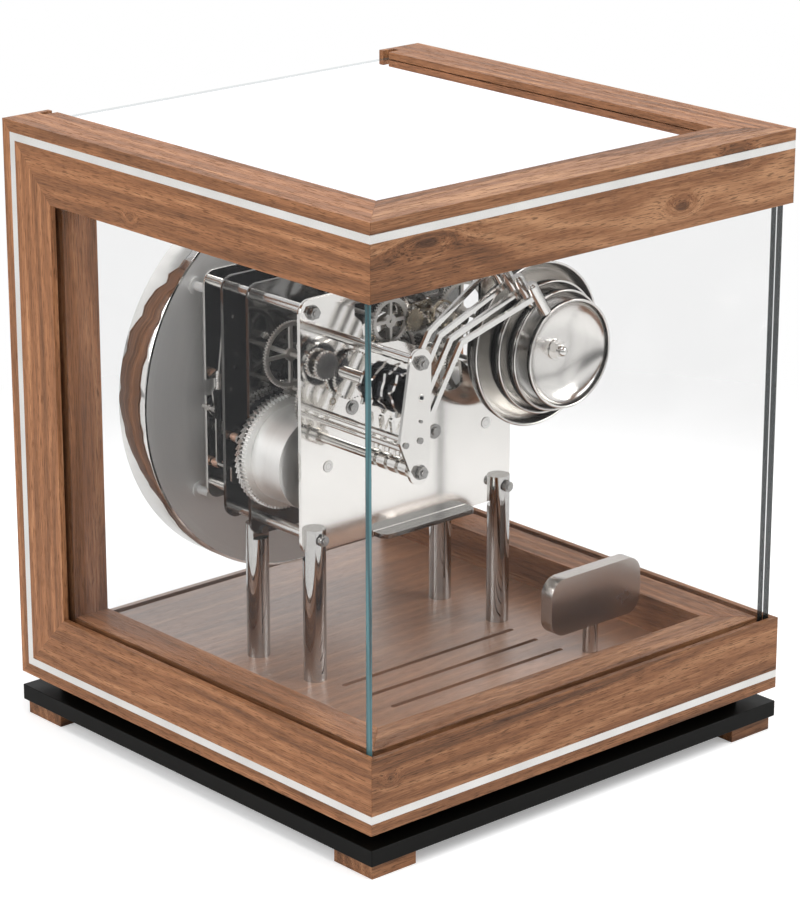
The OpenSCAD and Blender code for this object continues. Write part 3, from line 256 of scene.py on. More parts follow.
class Growth:
    """A Geometry Nodes tree being made. Its inputs are named and its shape ends as one real mesh."""

    KINDS = {float: "NodeSocketFloat", int: "NodeSocketInt"}

    def __init__(self, name):
        self.tree = bpy.data.node_groups.new(name, "GeometryNodeTree")
        self.tree.interface.new_socket("Places", in_out="INPUT", socket_type="NodeSocketGeometry")
        self.tree.interface.new_socket("Shape", in_out="OUTPUT", socket_type="NodeSocketGeometry")
        self.entry = self.tree.nodes.new("NodeGroupInput")
        self.exit = self.tree.nodes.new("NodeGroupOutput")
        self.values = {}

    def places(self):
        return Field(self.tree, self.entry.outputs[0])

    def input(self, name, value):
        socket = self.tree.interface.new_socket(name, in_out="INPUT", socket_type=self.KINDS[type(value)])
        self.values[socket.identifier] = value
        return Field(self.tree, self.entry.outputs[name])

    def node(self, kind, settings=None, sockets=None, output=0):
        """Any node: its type, its settings, then the values or links of its sockets."""
        node = self.tree.nodes.new(kind)
        for key, value in (settings or {}).items():
            setattr(node, key, value)
        for key, value in (sockets or {}).items():
            connect(self.tree, node.inputs[key], value)
        return Field(self.tree, node.outputs[output])

    def moved(self, shape, shift=(0, 0, 0), turn=(0, 0, 0)):
        return self.node("GeometryNodeTransform", {}, {"Geometry": shape, "Translation": shift, "Rotation": turn})

    def drum(self, radius, height, sides=32):
        """A cylinder that stands on the y axis, from 0 to height behind the place."""
        shape = self.node("GeometryNodeMeshCylinder", {}, {"Vertices": sides, "Radius": radius, "Depth": height})
        half = self.node("ShaderNodeCombineXYZ", {}, {"Y": height * 0.5})
        return self.moved(shape, half, (math.pi / 2, 0, 0))

    def at_places(self, shape):
        return self.node("GeometryNodeInstanceOnPoints", {}, {"Points": self.places(), "Instance": shape})

    def grow(self, name, shape, places, finish, slot, body="case", smooth=True):
        """Ends the tree, runs it over the places and keeps the result as a plain piece."""
        real = self.node("GeometryNodeRealizeInstances", {}, {"Geometry": shape})
        even = self.node("GeometryNodeSetShadeSmooth", {}, {"Geometry": real, "Shade Smooth": smooth})
        made = self.node("GeometryNodeSetMaterial", {}, {"Geometry": even, "Material": finish.material})
        self.tree.links.new(made.socket, self.exit.inputs[0])
        host_mesh = bpy.data.meshes.new(name + " places")
        host_mesh.from_pydata([tuple(p) for p in places], [], [])
        host = bpy.data.objects.new(name + " host", host_mesh)
        bpy.context.scene.collection.objects.link(host)
        modifier = host.modifiers.new("grow", "NODES")
        modifier.node_group = self.tree
        for identifier, value in self.values.items():
            modifier[identifier] = value
        graph = bpy.context.evaluated_depsgraph_get()
        mesh = bpy.data.meshes.new_from_object(host.evaluated_get(graph), depsgraph=graph)
        bpy.data.objects.remove(host)
        if not mesh.polygons:
            raise RuntimeError(f"{name} came out empty")
        mesh.name = name
        return add_piece(name, mesh, finish, body)


def screw_heads(name, places, finish, radius, height=0.0009, slot_width=0.0005, slot="polished_steel", body="case"):
    """Slotted screw heads that face the back of the clock."""
    growth = Growth(name)
    head = growth.drum(growth.input("Radius", radius), growth.input("Height", height))
    width = growth.input("Slot width", slot_width)
    size = growth.node("ShaderNodeCombineXYZ", {}, {"X": radius * 3.0, "Y": height, "Z": width})
    groove = growth.moved(growth.node("GeometryNodeMeshCube", {}, {"Size": size}), (0, height, 0), (0, 0.6, 0))
    cut = growth.node("GeometryNodeMeshBoolean", {"operation": "DIFFERENCE"}, {"Mesh 1": head, "Mesh 2": groove})
    return growth.grow(name, growth.at_places(cut), places, finish, slot, body, smooth=False)


def collars(name, places, finish, radius, wire, slot="polished_steel", body="case"):
    """Rounded rings that lie flat on a plate, round pivots and screws."""
    growth = Growth(name)
    rail = growth.node("GeometryNodeCurvePrimitiveCircle", {}, {
        "Resolution": 40, "Radius": growth.input("Radius", radius)})
    bead = growth.node("GeometryNodeCurvePrimitiveCircle", {}, {
        "Resolution": 10, "Radius": growth.input("Wire", wire)})
    ring = growth.node("GeometryNodeCurveToMesh", {}, {"Curve": rail, "Profile Curve": bead})
    ring = growth.moved(ring, (0, 0, 0), (math.pi / 2, 0, 0))
    return growth.grow(name, growth.at_places(ring), places, finish, slot, body)


def coils(name, places, finish, turns, inner, outer, length, wire, slot, body="case", aim=(math.pi / 2, 0, 0)):
    """Wound springs. With no length they are flat spirals, like a hairspring."""
    growth = Growth(name)
    path = growth.node("GeometryNodeCurveSpiral", {}, {
        "Resolution": 28, "Rotations": growth.input("Turns", turns),
        "Start Radius": growth.input("Inner radius", inner), "End Radius": growth.input("Outer radius", outer),
        "Height": growth.input("Length", length)})
    bead = growth.node("GeometryNodeCurvePrimitiveCircle", {}, {
        "Resolution": 8, "Radius": growth.input("Wire", wire)})
    wound = growth.node("GeometryNodeCurveToMesh", {}, {"Curve": path, "Profile Curve": bead, "Fill Caps": True})
    return growth.grow(name, growth.at_places(growth.moved(wound, (0, 0, 0), aim)), places, finish, slot, body)


def dot_ring(name, centre, count, reach, radius, height, finish, slot):
    """Small round dots spaced evenly in a ring that faces the front."""
    growth = Growth(name)
    ring = growth.node("GeometryNodeMeshCircle", {}, {
        "Vertices": growth.input("Count", count), "Radius": growth.input("Ring radius", reach)})
    dot = growth.node("GeometryNodeMeshCylinder", {}, {
        "Vertices": 20, "Radius": growth.input("Dot radius", radius), "Depth": growth.input("Dot height", height)})
    dots = growth.node("GeometryNodeInstanceOnPoints", {}, {"Points": ring, "Instance": dot})
    upright = growth.moved(dots, (0, 0, 0), (math.pi / 2, 0, 0))
    real = growth.node("GeometryNodeRealizeInstances", {}, {"Geometry": upright})
    return growth.grow(name, growth.at_places(real), [centre], finish, slot, smooth=False)


def bell_profile(rim, radius, depth, wall, flat=0.0056, curve=0.82, steps=44):
    """Closed half section of a bell as (radius, y), with a rolled rim that faces the back."""
    def side(reach, drop, lift):
        angles = [math.pi / 2 * i / steps for i in range(1, steps)]
        return [(flat + (reach - flat) * math.sin(a) ** curve, rim - lift - drop * math.cos(a) ** curve)
                for a in angles]

    bead = wall * 0.62
    turn = [math.radians(d) for d in (-100, -60, -20, 20, 60, 100, 140, 180)]
    roll = [(radius - bead + bead * math.cos(a), rim - bead + bead * math.sin(a)) for a in turn]
    outside = side(radius - bead * 0.4, depth - bead, bead)
    inside = side(radius - wall, depth - bead - wall, bead)
    hole = 0.003
    return [(hole, rim - depth), *outside, *roll, *reversed(inside), (hole, rim - depth + wall)]


def spin(name, profiles, centre, finish, body="case", steps=144):
    """Round pieces: every profile lists (radius, y) and is turned about a line along y through centre."""
    verts, faces = [], []
    for profile in profiles:
        count, start = len(profile), len(verts)
        for i in range(steps):
            angle = 2 * math.pi * i / steps
            verts += [(centre.x + r * math.cos(angle), y, centre.z + r * math.sin(angle)) for r, y in profile]
            ahead = (i + 1) % steps
            for k in range(count):
                faces.append((start + i * count + k, start + i * count + (k + 1) % count,
                              start + ahead * count + (k + 1) % count, start + ahead * count + k))
    mesh = bpy.data.meshes.new(name)
    mesh.from_pydata(verts, [], faces)
    shell = bmesh.new()
    shell.from_mesh(mesh)
    bmesh.ops.recalc_face_normals(shell, faces=shell.faces)
    shell.to_mesh(mesh)
    shell.free()
    mesh.shade_smooth()
    return add_piece(name, mesh, finish, body)


def finish_node(name, finish):
    """Gives a CAD node its material."""
    frame["nodes"][name].material_slots[0].material = finish.material


def ease(name, width, angle=38.0, steps=2):
    """Rounds the sharp edges of a CAD node a little, as finishing does."""
    node = frame["nodes"][name]
    weld = node.modifiers.new("weld", "WELD")
    weld.merge_threshold = 2e-6
    bevel = node.modifiers.new("eased edges", "BEVEL")
    bevel.width = width
    bevel.segments = steps
    bevel.limit_method = "ANGLE"
    bevel.angle_limit = math.radians(angle)
    bevel.harden_normals = True


def at(x, y, z):
    """A place in millimetres: x and z from the hand arbor, y from the middle of the case."""
    return Vector((ARBOR.x + x * MM, y * MM, ARBOR.z + z * MM))


def on_pivots(y, *joints):
    """Where the arbors of some joints meet a plate's face at y, in millimetres."""
    return [Vector((place.x, y * MM, place.z)) for place in map(joint_place, joints)]


def add_piece(name, mesh, finish, body="case"):
    """A new piece made from a mesh, riding on a CAD body."""
    piece = bpy.data.objects.new(name, mesh)
    bpy.context.scene.collection.objects.link(piece)
    mesh.materials.clear()
    mesh.materials.append(finish.material)
    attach(piece, body)
    return piece


# Finishes

def walnut(name, grain, pith=(-0.05, 0.03), shift=(0, 0, 0), tone=1.0, figure=1.0, contrast=1.0, painted_haze=0.0,
           knots=()):
    """Oiled walnut whose grain runs along x, y or z. pith is where the rings' centre lies across the grain."""
    shades = bpy.context.scene.clock_wood
    finish = Finish(name, rough=0.42)
    along = "xyz".index(grain)
    others = [i for i in range(3) if i != along]

    def stretched(vector, share):
        scale = tuple(share if i == along else 1.0 for i in range(3))
        return finish.node("ShaderNodeMapping", {}, {"Vector": vector, "Scale": scale})

    axes = finish.parts(finish.place(shift=shift))
    swirl = None
    for centre, reach, strength in knots:
        away = 0
        for i in range(3):
            if reach[i]:
                away = ((axes[i] - centre[i] - shift[i]) / reach[i]) ** 2.0 + away
        eye = (-away).math("EXPONENT")
        for i in others:
            axes[i] = axes[i] + eye * strength
        core = eye.above(0.6, 1.0)
        swirl = core if swirl is None else swirl + core
    bent = finish.join(*axes)
    slow = finish.noise(stretched(bent, 0.3), 13.0, 2.0, 0.5)
    ripple = finish.noise(stretched(bent, 0.15), 60.0, 2.0, 0.5)
    first, second = (axes[i] - place for i, place in zip(others, pith))
    reach = (first * first + second * second) ** 0.5 + (slow - 0.5) * (0.055 * figure) + (ripple - 0.5) * 0.006
    rings = ((reach * 820.0).math("SINE") * 0.5 + 0.5) ** 1.8
    wide = (reach * 190.0).math("SINE") * 0.5 + 0.5
    fibre = finish.noise(stretched(bent, 0.04), 1500.0, 3.0, 0.7)
    streaks = finish.noise(stretched(bent, 0.035), 330.0, 4.0, 0.7)
    pores = finish.noise(stretched(bent, 0.07), 1700.0, 2.0, 0.6).above(0.53, 0.63)
    shade = rings * 0.17 + wide * (0.16 * figure) + fibre * 0.60 + streaks * 0.62 - 0.27 - 0.02 * figure
    shade = (shade - 0.5) * contrast + 0.5
    dark, mid, pale = (tuple(c * tone for c in getattr(shades, k)) for k in ("dark", "middle", "pale"))
    colour = finish.ramp(shade, [(0.20, dark), (0.50, mid), (0.82, pale)])
    colour = finish.blend(pores * ((0.35 + rings * 0.3) * contrast), colour, tuple(c * 0.35 for c in dark))
    if swirl is not None:
        colour = finish.blend(swirl * 0.28, colour, tuple(c * 0.35 for c in dark))
    # Painted haze: the colour is blended evenly toward a pale grey-brown, standing for the veil of reflected light
    # over the wood
    if painted_haze:
        colour = finish.blend(painted_haze, colour, (0.25, 0.205, 0.17))
    finish.set("Base Color", colour)
    finish.set("Roughness", 0.36 + fibre * 0.16 + pores * 0.25)
    finish.shader.inputs["Specular IOR Level"].default_value = 0.25
    finish.bump(fibre * 0.3 - pores, 0.00008, 0.7)
    return finish


def lacquer(name):
    """Satin black lacquer with the faintest orange peel."""
    finish = Finish(name, colour=(0.0022, 0.0022, 0.0018))
    finish.shader.inputs["Specular IOR Level"].default_value = 0.12
    skin = finish.noise(finish.place(), 900.0, 2.0)
    dust = finish.noise(finish.place(), 60.0, 3.0)
    finish.set("Roughness", 0.34 + dust * 0.18)
    finish.bump(skin, 0.00002, 0.5)
    return finish


def inlay(name):
    """A pale satin line let into the wood."""
    finish = Finish(name, rough=0.35, metal=0.35)
    fine = finish.noise(finish.place(), 1400.0, 2.0)
    cloud = finish.noise(finish.place(), 35.0, 2.0)
    finish.set("Base Color", finish.ramp(fine * 0.4 + cloud * 0.6, [
        (0.3, (0.60, 0.59, 0.57)), (0.7, (0.76, 0.75, 0.73))]))
    finish.set("Roughness", 0.28 + fine * 0.2)
    return finish


def glass(name, across, gloss=0.35, loss=0.025, tint=(0.97, 0.98, 1.0)):
    """A clear pane with blue-green polished edges, with painted shade on the edges at the far -x side. across is
    the axis that the pane is thin along.
    """
    finish = Finish(name, rough=0.015)
    normal = finish.parts(finish.node("ShaderNodeNewGeometry", output="True Normal"))
    edge = 1 - abs(normal["xyz".index(across)]).above(0.3, 0.8)
    slant = finish.node("ShaderNodeLayerWeight", {}, {"Blend": 0.5}, output="Facing")
    mirror = (slant ** 5.0 * 0.96 + 0.04) * gloss
    x, y, z = finish.parts(finish.place())
    depth = finish.noise(finish.join(x * 60.0, y * 60.0, z * 2.0), 6.0, 1.0)
    edge_tint_and_shade = finish.ramp(depth, [(0.35, (0.012, 0.05, 0.06)), (0.65, (0.07, 0.19, 0.21))])
    share = mirror / (mirror + loss)
    face = finish.join(share * tint[0], share * tint[1], share * tint[2])
    # Painted shade: the edges go nearly black where x is below -0.12 m, at the far side of the case
    edge_tint_and_shade = finish.blend(x.below(-0.13, -0.12), edge_tint_and_shade, (0.008, 0.016, 0.018))
    level = abs(normal[2]).above(0.3, 0.8) if across != "z" else 1.0
    finish.set("Base Color", finish.blend(edge, face, edge_tint_and_shade))
    finish.set("Alpha", (mirror + loss) * (1 - edge) + edge * (0.92 - level * 0.62))
    finish.set("Metallic", 1 - edge)
    return finish


def polished(name, colour, rough=0.025, smear=0.02, scratch=0.12, painted_dark_reflection=None):
    """Mirror-polished metal with smears and hairline scratches. The last argument gives, from x, y and z, where a
    darker reflection is painted into the colour.
    """
    finish = Finish(name, metal=1.0, colour=colour)
    cloud = finish.noise(finish.place(), 38.0, 4.0, 0.6)
    hair = finish.noise(finish.place((1.0, 1.0, 0.08)), 2600.0, 2.0)
    shade = finish.blend(cloud, colour, tuple(c * 0.93 for c in colour))
    # Painted reflection: the colour is darkened to a third where the mask is 1
    if painted_dark_reflection:
        shade = finish.blend(painted_dark_reflection(*finish.parts(finish.place())), shade, tuple(c * 0.34 for c in colour))
    finish.set("Base Color", shade)
    finish.set("Roughness", rough + cloud * smear)
    finish.bump(hair, 0.000002, scratch)
    return finish


def turned(name, axes, colour, rough=0.26, line=2200.0, dark=None):
    """Steel brushed round one or more axes that run along y. dark is the colour of the painted shade on walls that
    stand along y.
    """
    finish = Finish(name, metal=1.0, colour=colour)
    x, y, z = finish.parts(finish.place())
    reach = None
    for axis in axes:
        away = ((x - axis.x) ** 2.0 + (z - axis.z) ** 2.0) ** 0.5
        reach = away if reach is None else reach.math("MINIMUM", away)
    lines = finish.noise(finish.join(reach, y, reach * 0.3), line, 2.0, 0.7)
    cloud = finish.noise(finish.place(), 45.0, 2.0)
    shade = finish.blend(lines, tuple(c * 0.86 for c in colour), colour)
    # Painted shade: where the normal lies across y, the colour is blended toward dark
    if dark:
        facing = finish.parts(finish.node("ShaderNodeNewGeometry", output="Normal"))[1]
        shade = finish.blend(abs(facing).below(0.30, 0.55), shade, dark)
    finish.set("Base Color", shade)
    finish.set("Roughness", rough + lines * 0.1 + cloud * 0.06)
    finish.bump(lines, 0.00001, 0.5)
    return finish


def ground(name, colour, rough=0.3):
    """Finely ground steel, for wheels and levers. What lies behind the back plate is brighter."""
    finish = Finish(name, metal=1.0, colour=colour)
    grit = finish.noise(finish.place(), 3200.0, 2.0, 0.7)
    cloud = finish.noise(finish.place(), 90.0, 3.0)
    behind = finish.parts(finish.place())[1].above(0.0098, 0.0102)
    plain = finish.blend(cloud, tuple(c * 0.72 for c in colour), colour)
    finish.set("Base Color", finish.blend(behind, plain, BRIGHT_STEEL))
    finish.set("Roughness", (rough + grit * 0.15) * (1 - behind * 0.35))
    finish.bump(grit * (1 - behind), 0.000006, 0.4)
    return finish


def chime_steel(name):
    """Dark chime drum with bright cam edges, and a bright arbor and ratio wheel in front of it."""
    finish = Finish(name, metal=1.0)
    x, y, z = finish.parts(finish.place())
    away = ((x - CHIME_DRUM.x) ** 2.0 + (z - CHIME_DRUM.z) ** 2.0) ** 0.5
    bright = away.above(0.0109, 0.0112).math("MAXIMUM", y.below(0.026, 0.0265))
    fine = finish.noise(finish.place(), 1500.0, 2.0)
    finish.set("Base Color", finish.blend(bright, (0.05, 0.05, 0.055), BRIGHT_STEEL))
    finish.set("Roughness", 0.05 + fine * 0.08)
    return finish


def brass(name):
    """Aged brass, for the escape wheel, the balance and the bushings."""
    finish = Finish(name, metal=1.0)
    cloud = finish.noise(finish.place(), 240.0, 3.0)
    finish.set("Base Color", finish.ramp(cloud, [(0.3, (0.34, 0.29, 0.22)), (0.7, (0.52, 0.46, 0.36))]))
    finish.set("Roughness", 0.2 + cloud * 0.12)
    return finish


def copper(name):
    """Coppered spring wire."""
    finish = Finish(name, metal=1.0)
    cloud = finish.noise(finish.place(), 400.0, 3.0)
    finish.set("Base Color", finish.ramp(cloud, [(0.3, (0.36, 0.21, 0.15)), (0.7, (0.62, 0.42, 0.32))]))
    finish.set("Roughness", 0.25 + cloud * 0.1)
    return finish


def enamel(name, colour, rough=0.25):
    """Painted metal: hands, markers and the silvered ring."""
    finish = Finish(name, rough=rough, colour=colour)
    fine = finish.noise(finish.place(), 1800.0, 2.0)
    finish.set("Base Color", finish.blend(fine, colour, tuple(min(1.0, c * 1.12 + 0.004) for c in colour)))
    finish.set("Roughness", rough + fine * 0.12)
    return finish


def dial_metal(name):
    """Rear of the dial: satin grey steel with fine rings round the hand arbor."""
    finish = turned(name, [ARBOR], (0.72, 0.72, 0.71), rough=0.36, line=1400.0)
    finish.set("Metallic", 0.6)
    return finish


# Sizes and colours that a user may change

class ClockWood(bpy.types.PropertyGroup):
    dark: bpy.props.FloatVectorProperty(
        name="Dark grain", description="Colour of the darkest streaks", subtype="COLOR", size=3,
        min=0, max=1, default=(0.085, 0.036, 0.016))
    middle: bpy.props.FloatVectorProperty(
        name="Wood", description="Main colour of the wood", subtype="COLOR", size=3,
        min=0, max=1, default=(0.315, 0.134, 0.057))
    pale: bpy.props.FloatVectorProperty(
        name="Pale grain", description="Colour of the palest streaks", subtype="COLOR", size=3,
        min=0, max=1, default=(0.600, 0.310, 0.155))
    edge: bpy.props.FloatProperty(
        name="Eased edge", description="How far the wooden edges are rounded", subtype="DISTANCE", unit="LENGTH",
        min=0.0001, max=0.002, default=0.0004)


class ClockMetal(bpy.types.PropertyGroup):
    steel: bpy.props.FloatVectorProperty(
        name="Polished steel", description="Colour of posts, rods and hammers", subtype="COLOR", size=3,
        min=0, max=1, default=(0.80, 0.785, 0.76))
    nickel: bpy.props.FloatVectorProperty(
        name="Polished nickel", description="Colour of plates and bells", subtype="COLOR", size=3,
        min=0, max=1, default=(0.82, 0.80, 0.77))
    edge: bpy.props.FloatProperty(
        name="Broken edge", description="How far the edges of plates are broken", subtype="DISTANCE", unit="LENGTH",
        min=0.00005, max=0.0005, default=0.0002)
    hair_turns: bpy.props.IntProperty(
        name="Hairspring turns", description="Turns of the balance spring", min=3, max=14, default=8)
    hair_wire: bpy.props.FloatProperty(
        name="Hairspring wire", description="Thickness of the balance spring", subtype="DISTANCE", unit="LENGTH",
        min=0.00004, max=0.0004, default=0.00014)


class ClockDial(bpy.types.PropertyGroup):
    dots: bpy.props.IntProperty(
        name="Minute dots", description="Dots round the chapter ring", min=12, max=120, default=60)
    dot_size: bpy.props.FloatProperty(
        name="Dot size", description="Radius of a minute dot", subtype="DISTANCE", unit="LENGTH",
        min=0.0002, max=0.002, default=0.0007)
    ink: bpy.props.FloatVectorProperty(
        name="Markers", description="Colour of hands and markers", subtype="COLOR", size=3,
        min=0, max=1, default=(0.02, 0.022, 0.03))


# Operators

class CLOCK_OT_case(bpy.types.Operator):
    """Finish the walnut frame, the inlay lines, the plinth and the feet"""
    bl_idname = "clock.case"
    bl_label = "Case"

    def execute(self, context):
        edge = context.scene.clock_wood.edge
        frame_z = LOW.z + BASE_HEIGHT
        # The floor's wood carries a little painted haze of reflected light
        floor = walnut("walnut floor", "x", (-0.3, -0.12), (0.5, 0.2, 0.1), tone=1.05, figure=0.5, contrast=0.6,
                       painted_haze=0.15)
        floor.shader.inputs["Specular IOR Level"].default_value = 0.8
        floor.shader.inputs["Coat Weight"].default_value = 0.9
        floor.shader.inputs["Coat Roughness"].default_value = 0.3
        finish_node("front_posts", walnut("walnut posts", "z", (0.16, -0.20), tone=1.12, figure=0.4, contrast=0.85))
        finish_node("side_bottom_rails", walnut(
            "walnut bottom rails", "y", (0.20, 0.13), (0.02, 0.4, 0.19), figure=0.5, contrast=0.85))
        finish_node("side_top_rails", walnut(
            "walnut top rails", "y", (0.55, 0.50), (0.31, 0.1, 0.05), figure=0.5, contrast=0.85, knots=[
                ((0.14, -0.036, frame_z + 0.266), (0.05, 0.0045, 0.0035), 0.004)]))
        finish_node("rear_top_rail", walnut(
            "walnut rear top rail", "x", (0.165, 0.325), tone=0.72, figure=1.7, knots=[
                ((-0.060, 0.14, frame_z + 0.272), (0.010, 0.05, 0.005), 0.007),
                ((0.105, 0.14, frame_z + 0.284), (0.022, 0.05, 0.006), -0.008),
                ((-0.098, 0.14, frame_z + 0.290), (0.012, 0.05, 0.005), 0.006)]))
        finish_node("rear_bottom_rail", walnut(
            "walnut rear bottom rail", "x", (0.165, 0.11), tone=0.75, knots=[
                ((0.128, 0.14, frame_z + 0.026), (0.005, 0.04, 0.0035), 0.004)]))
        finish_node("floor_board", floor)
        finish_node("feet", walnut("walnut feet", "x", (0.3, 0.2), (0.2, 0.6, 0.3), tone=0.8))
        finish_node("plinth_board", lacquer("black lacquer"))
        finish_node("inlay_lines", inlay("pale inlay"))
        for name in ("front_posts", "side_bottom_rails", "side_top_rails", "rear_top_rail", "rear_bottom_rail",
                     "feet", "plinth_board"):
            ease(name, edge)
        return {"FINISHED"}


class CLOCK_OT_glass(bpy.types.Operator):
    """Finish the five panes"""
    bl_idname = "clock.glass"
    bl_label = "Glass"

    def execute(self, context):
        finish_node("side_glass", glass("side panes", "x"))
        finish_node("rear_glass", glass("rear pane", "y", 0.2))
        finish_node("front_glass", glass("front pane", "y"))
        finish_node("top_glass", glass("top pane", "z", 3.0, 0.02, (0.96, 0.955, 1.0)))
        for name in ("side_glass", "rear_glass", "front_glass", "top_glass"):
            ease(name, 0.0003)
        return {"FINISHED"}


class CLOCK_OT_movement(bpy.types.Operator):
    """Finish the plates, posts, trains and winding arbors"""
    bl_idname = "clock.movement"
    bl_label = "Movement"

    def execute(self, context):
        metal = context.scene.clock_metal
        steel, nickel = tuple(metal.steel), tuple(metal.nickel)
        plate = polished("polished plates", nickel, 0.07, 0.04)
        rod = polished("polished rods", steel, 0.03)
        wheel = ground("ground wheels", (0.62, 0.60, 0.57))
        lever = ground("ground levers", (0.74, 0.72, 0.69), 0.16)
        gold = brass("brass")
        # Painted shade: a darker copy of the plate metal for the centre and front plates, which sit between the
        # other plates
        painted_shade = polished("shaded plates", tuple(c * 0.22 for c in nickel), 0.07, 0.04)
        for name in ("dial_plate", "escapement_platform", "chime_bracket"):
            finish_node(name, plate)
        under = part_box("back_plate")[0].z
        face = BACK_FACE * MM

        # Painted dark reflection on the ledge at the foot of the back plate, where it would mirror the plate
        def ledge(x, y, z):
            return y.above(face + 0.0002, face + 0.0004) * z.below(under + 0.0026, under + 0.0030)

        finish_node("back_plate", polished("back plate", nickel, 0.07, 0.04, painted_dark_reflection=ledge))
        for name in ("centre_plate", "front_plate"):
            finish_node(name, painted_shade)
        finish_node("plate_pillars", polished("satin pillars", steel, 0.16, 0.06))
        finish_node("support_posts", polished("polished posts", tuple(c * 0.62 for c in steel), 0.04, 0.02))
        finish_node("fixing_screws", polished("fixing screws", tuple(c * 0.42 for c in steel), 0.1, 0.05))
        for name in ("time_arbor", "chime_rods", "pallet_lever"):
            finish_node(name, rod)
        for name in ("hour_wheel", "minute_wheel", "centre_arbor", "third_time_wheel", "fourth_time_wheel",
                     "chime_second_wheel", "chime_third_wheel", "chime_fourth_wheel", "chime_fly",
                     "strike_second_wheel", "strike_third_wheel", "strike_fly"):
            finish_node(name, wheel)
        for name in ("escape_wheel", "balance_wheel"):
            finish_node(name, gold)
        finish_node("lifting_levers", lever)
        ratchet = turned("ratchet rings", BARRELS, (0.72, 0.71, 0.69), 0.2)
        for name in ("chime_arbor", "strike_arbor"):
            finish_node(name, ratchet)
        drum = turned("turned barrels", BARRELS, (0.97, 0.97, 0.95), 0.36)
        for name in ("chime_barrel", "strike_barrel", "time_barrel"):
            finish_node(name, drum)
        for name in ("back_plate", "centre_plate", "front_plate", "dial_plate", "chime_bracket"):
            ease(name, metal.edge)
        ease("fixing_screws", 0.0002)
        return {"FINISHED"}


class CLOCK_OT_details(bpy.types.Operator):
    """Add the screws, bushings, springs and jewels of the movement"""
    bl_idname = "clock.details"
    bl_label = "Screws, bushings and springs"

    def execute(self, context):
        metal = context.scene.clock_metal
        bright = polished("screw steel", tuple(metal.steel), 0.06)
        wound = copper("wound copper")
        ruby = Finish("ruby", rough=0.12, colour=(0.35, 0.01, 0.03))
        cloud = ruby.noise(ruby.place(), 900.0)
        ruby.set("Base Color", ruby.blend(cloud, (0.42, 0.012, 0.04), (0.22, 0.004, 0.015)))
        trains = ("chime_second_turn", "chime_fourth_turn", "chime_fan_turn", "time_third_turn",
                  "strike_second_turn", "strike_third_turn", "strike_fan_turn", "chime_third_turn", "centre_turn")
        collars("back_bushings", on_pivots(BACK_FACE, *trains), brass("bushing brass"), 0.0017, 0.00035, "brass")
        collars("centre_bushings", on_pivots(CENTRE_FACE, *trains[:-2]), bright, 0.0018, 0.0004)
        collars("bracket_bushing", on_pivots(BRACKET_FACE, "chime_cam_turn"), bright, 0.0016, 0.00035)
        screw_heads("centre_plate_screws", [at(x, CENTRE_FACE, z) for x, z in CENTRE_SCREWS], bright, 0.0018)
        screw_heads("front_plate_screws", [at(x, FRONT_FACE, z) for x, z in FRONT_SCREWS], bright, 0.0016)
        screw_heads("dial_plate_screws", [at(x, DIAL_PLATE_FACE, z) for x, z in DIAL_PLATE_SCREWS], bright, 0.0020)
        screw_heads("cock_screws", [Vector((BALANCE.x, COCK_FACE * MM, BALANCE.z)) + COCK_SCREW], bright, 0.0012)
        coils("balance_spring", [Vector((BALANCE.x, 0.0090, BALANCE.z))], bright, float(metal.hair_turns),
              0.0009, 0.0052, 0.0, metal.hair_wire, "polished_steel")
        coils("lever_springs", [at(60, -59.6, 14), at(68, -65.0, -30), at(67, -50.4, -13)], wound, 4.5,
              0.0019, 0.0019, 0.0042, 0.00042, "brass", aim=(-math.pi / 2, 0, 0))
        coils("return_spring", [at(69.4, -58.8, 10.6)], bright, 11.0, 0.0011, 0.0011, 0.0098, 0.0003,
              "polished_steel", aim=(0, 0, 0))
        collars("jewels", on_pivots(COCK_FACE, "balance_swing"), ruby, 0.0009, 0.00045, "brass")
        collars("platform_jewels", on_pivots(PLATFORM_FACE, "escape_turn", "pallet_rock"), ruby, 0.0012, 0.0003,
                "brass")
        return {"FINISHED"}


class CLOCK_OT_chime(bpy.types.Operator):
    """Finish the chime drum, hammers, bells and bell post"""
    bl_idname = "clock.chime"
    bl_label = "Chime"

    def execute(self, context):
        metal = context.scene.clock_metal
        finish_node("chime_drum", chime_steel("chime drum steel"))
        hammer = polished("hammer steel", tuple(metal.steel), 0.12)
        for number in range(1, 5):
            finish_node(f"hammer_{number}", hammer)
        # The bells' walls that stand along their axis get painted shade
        bell = turned("polished bells", [BELL_AXIS], tuple(metal.nickel), 0.13, 900.0, (0.10, 0.095, 0.09))
        finish_node("bells", bell)
        profiles = [bell_profile(rim, radius, depth, BELL_WALL, curve=curve)
                    for rim, radius, depth, curve in BELL_SIZES]
        bowls = spin("spun_bells", profiles, BELL_AXIS, bell)
        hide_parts("bells")
        finish_node("bell_stand", hammer)
        return {"FINISHED"}


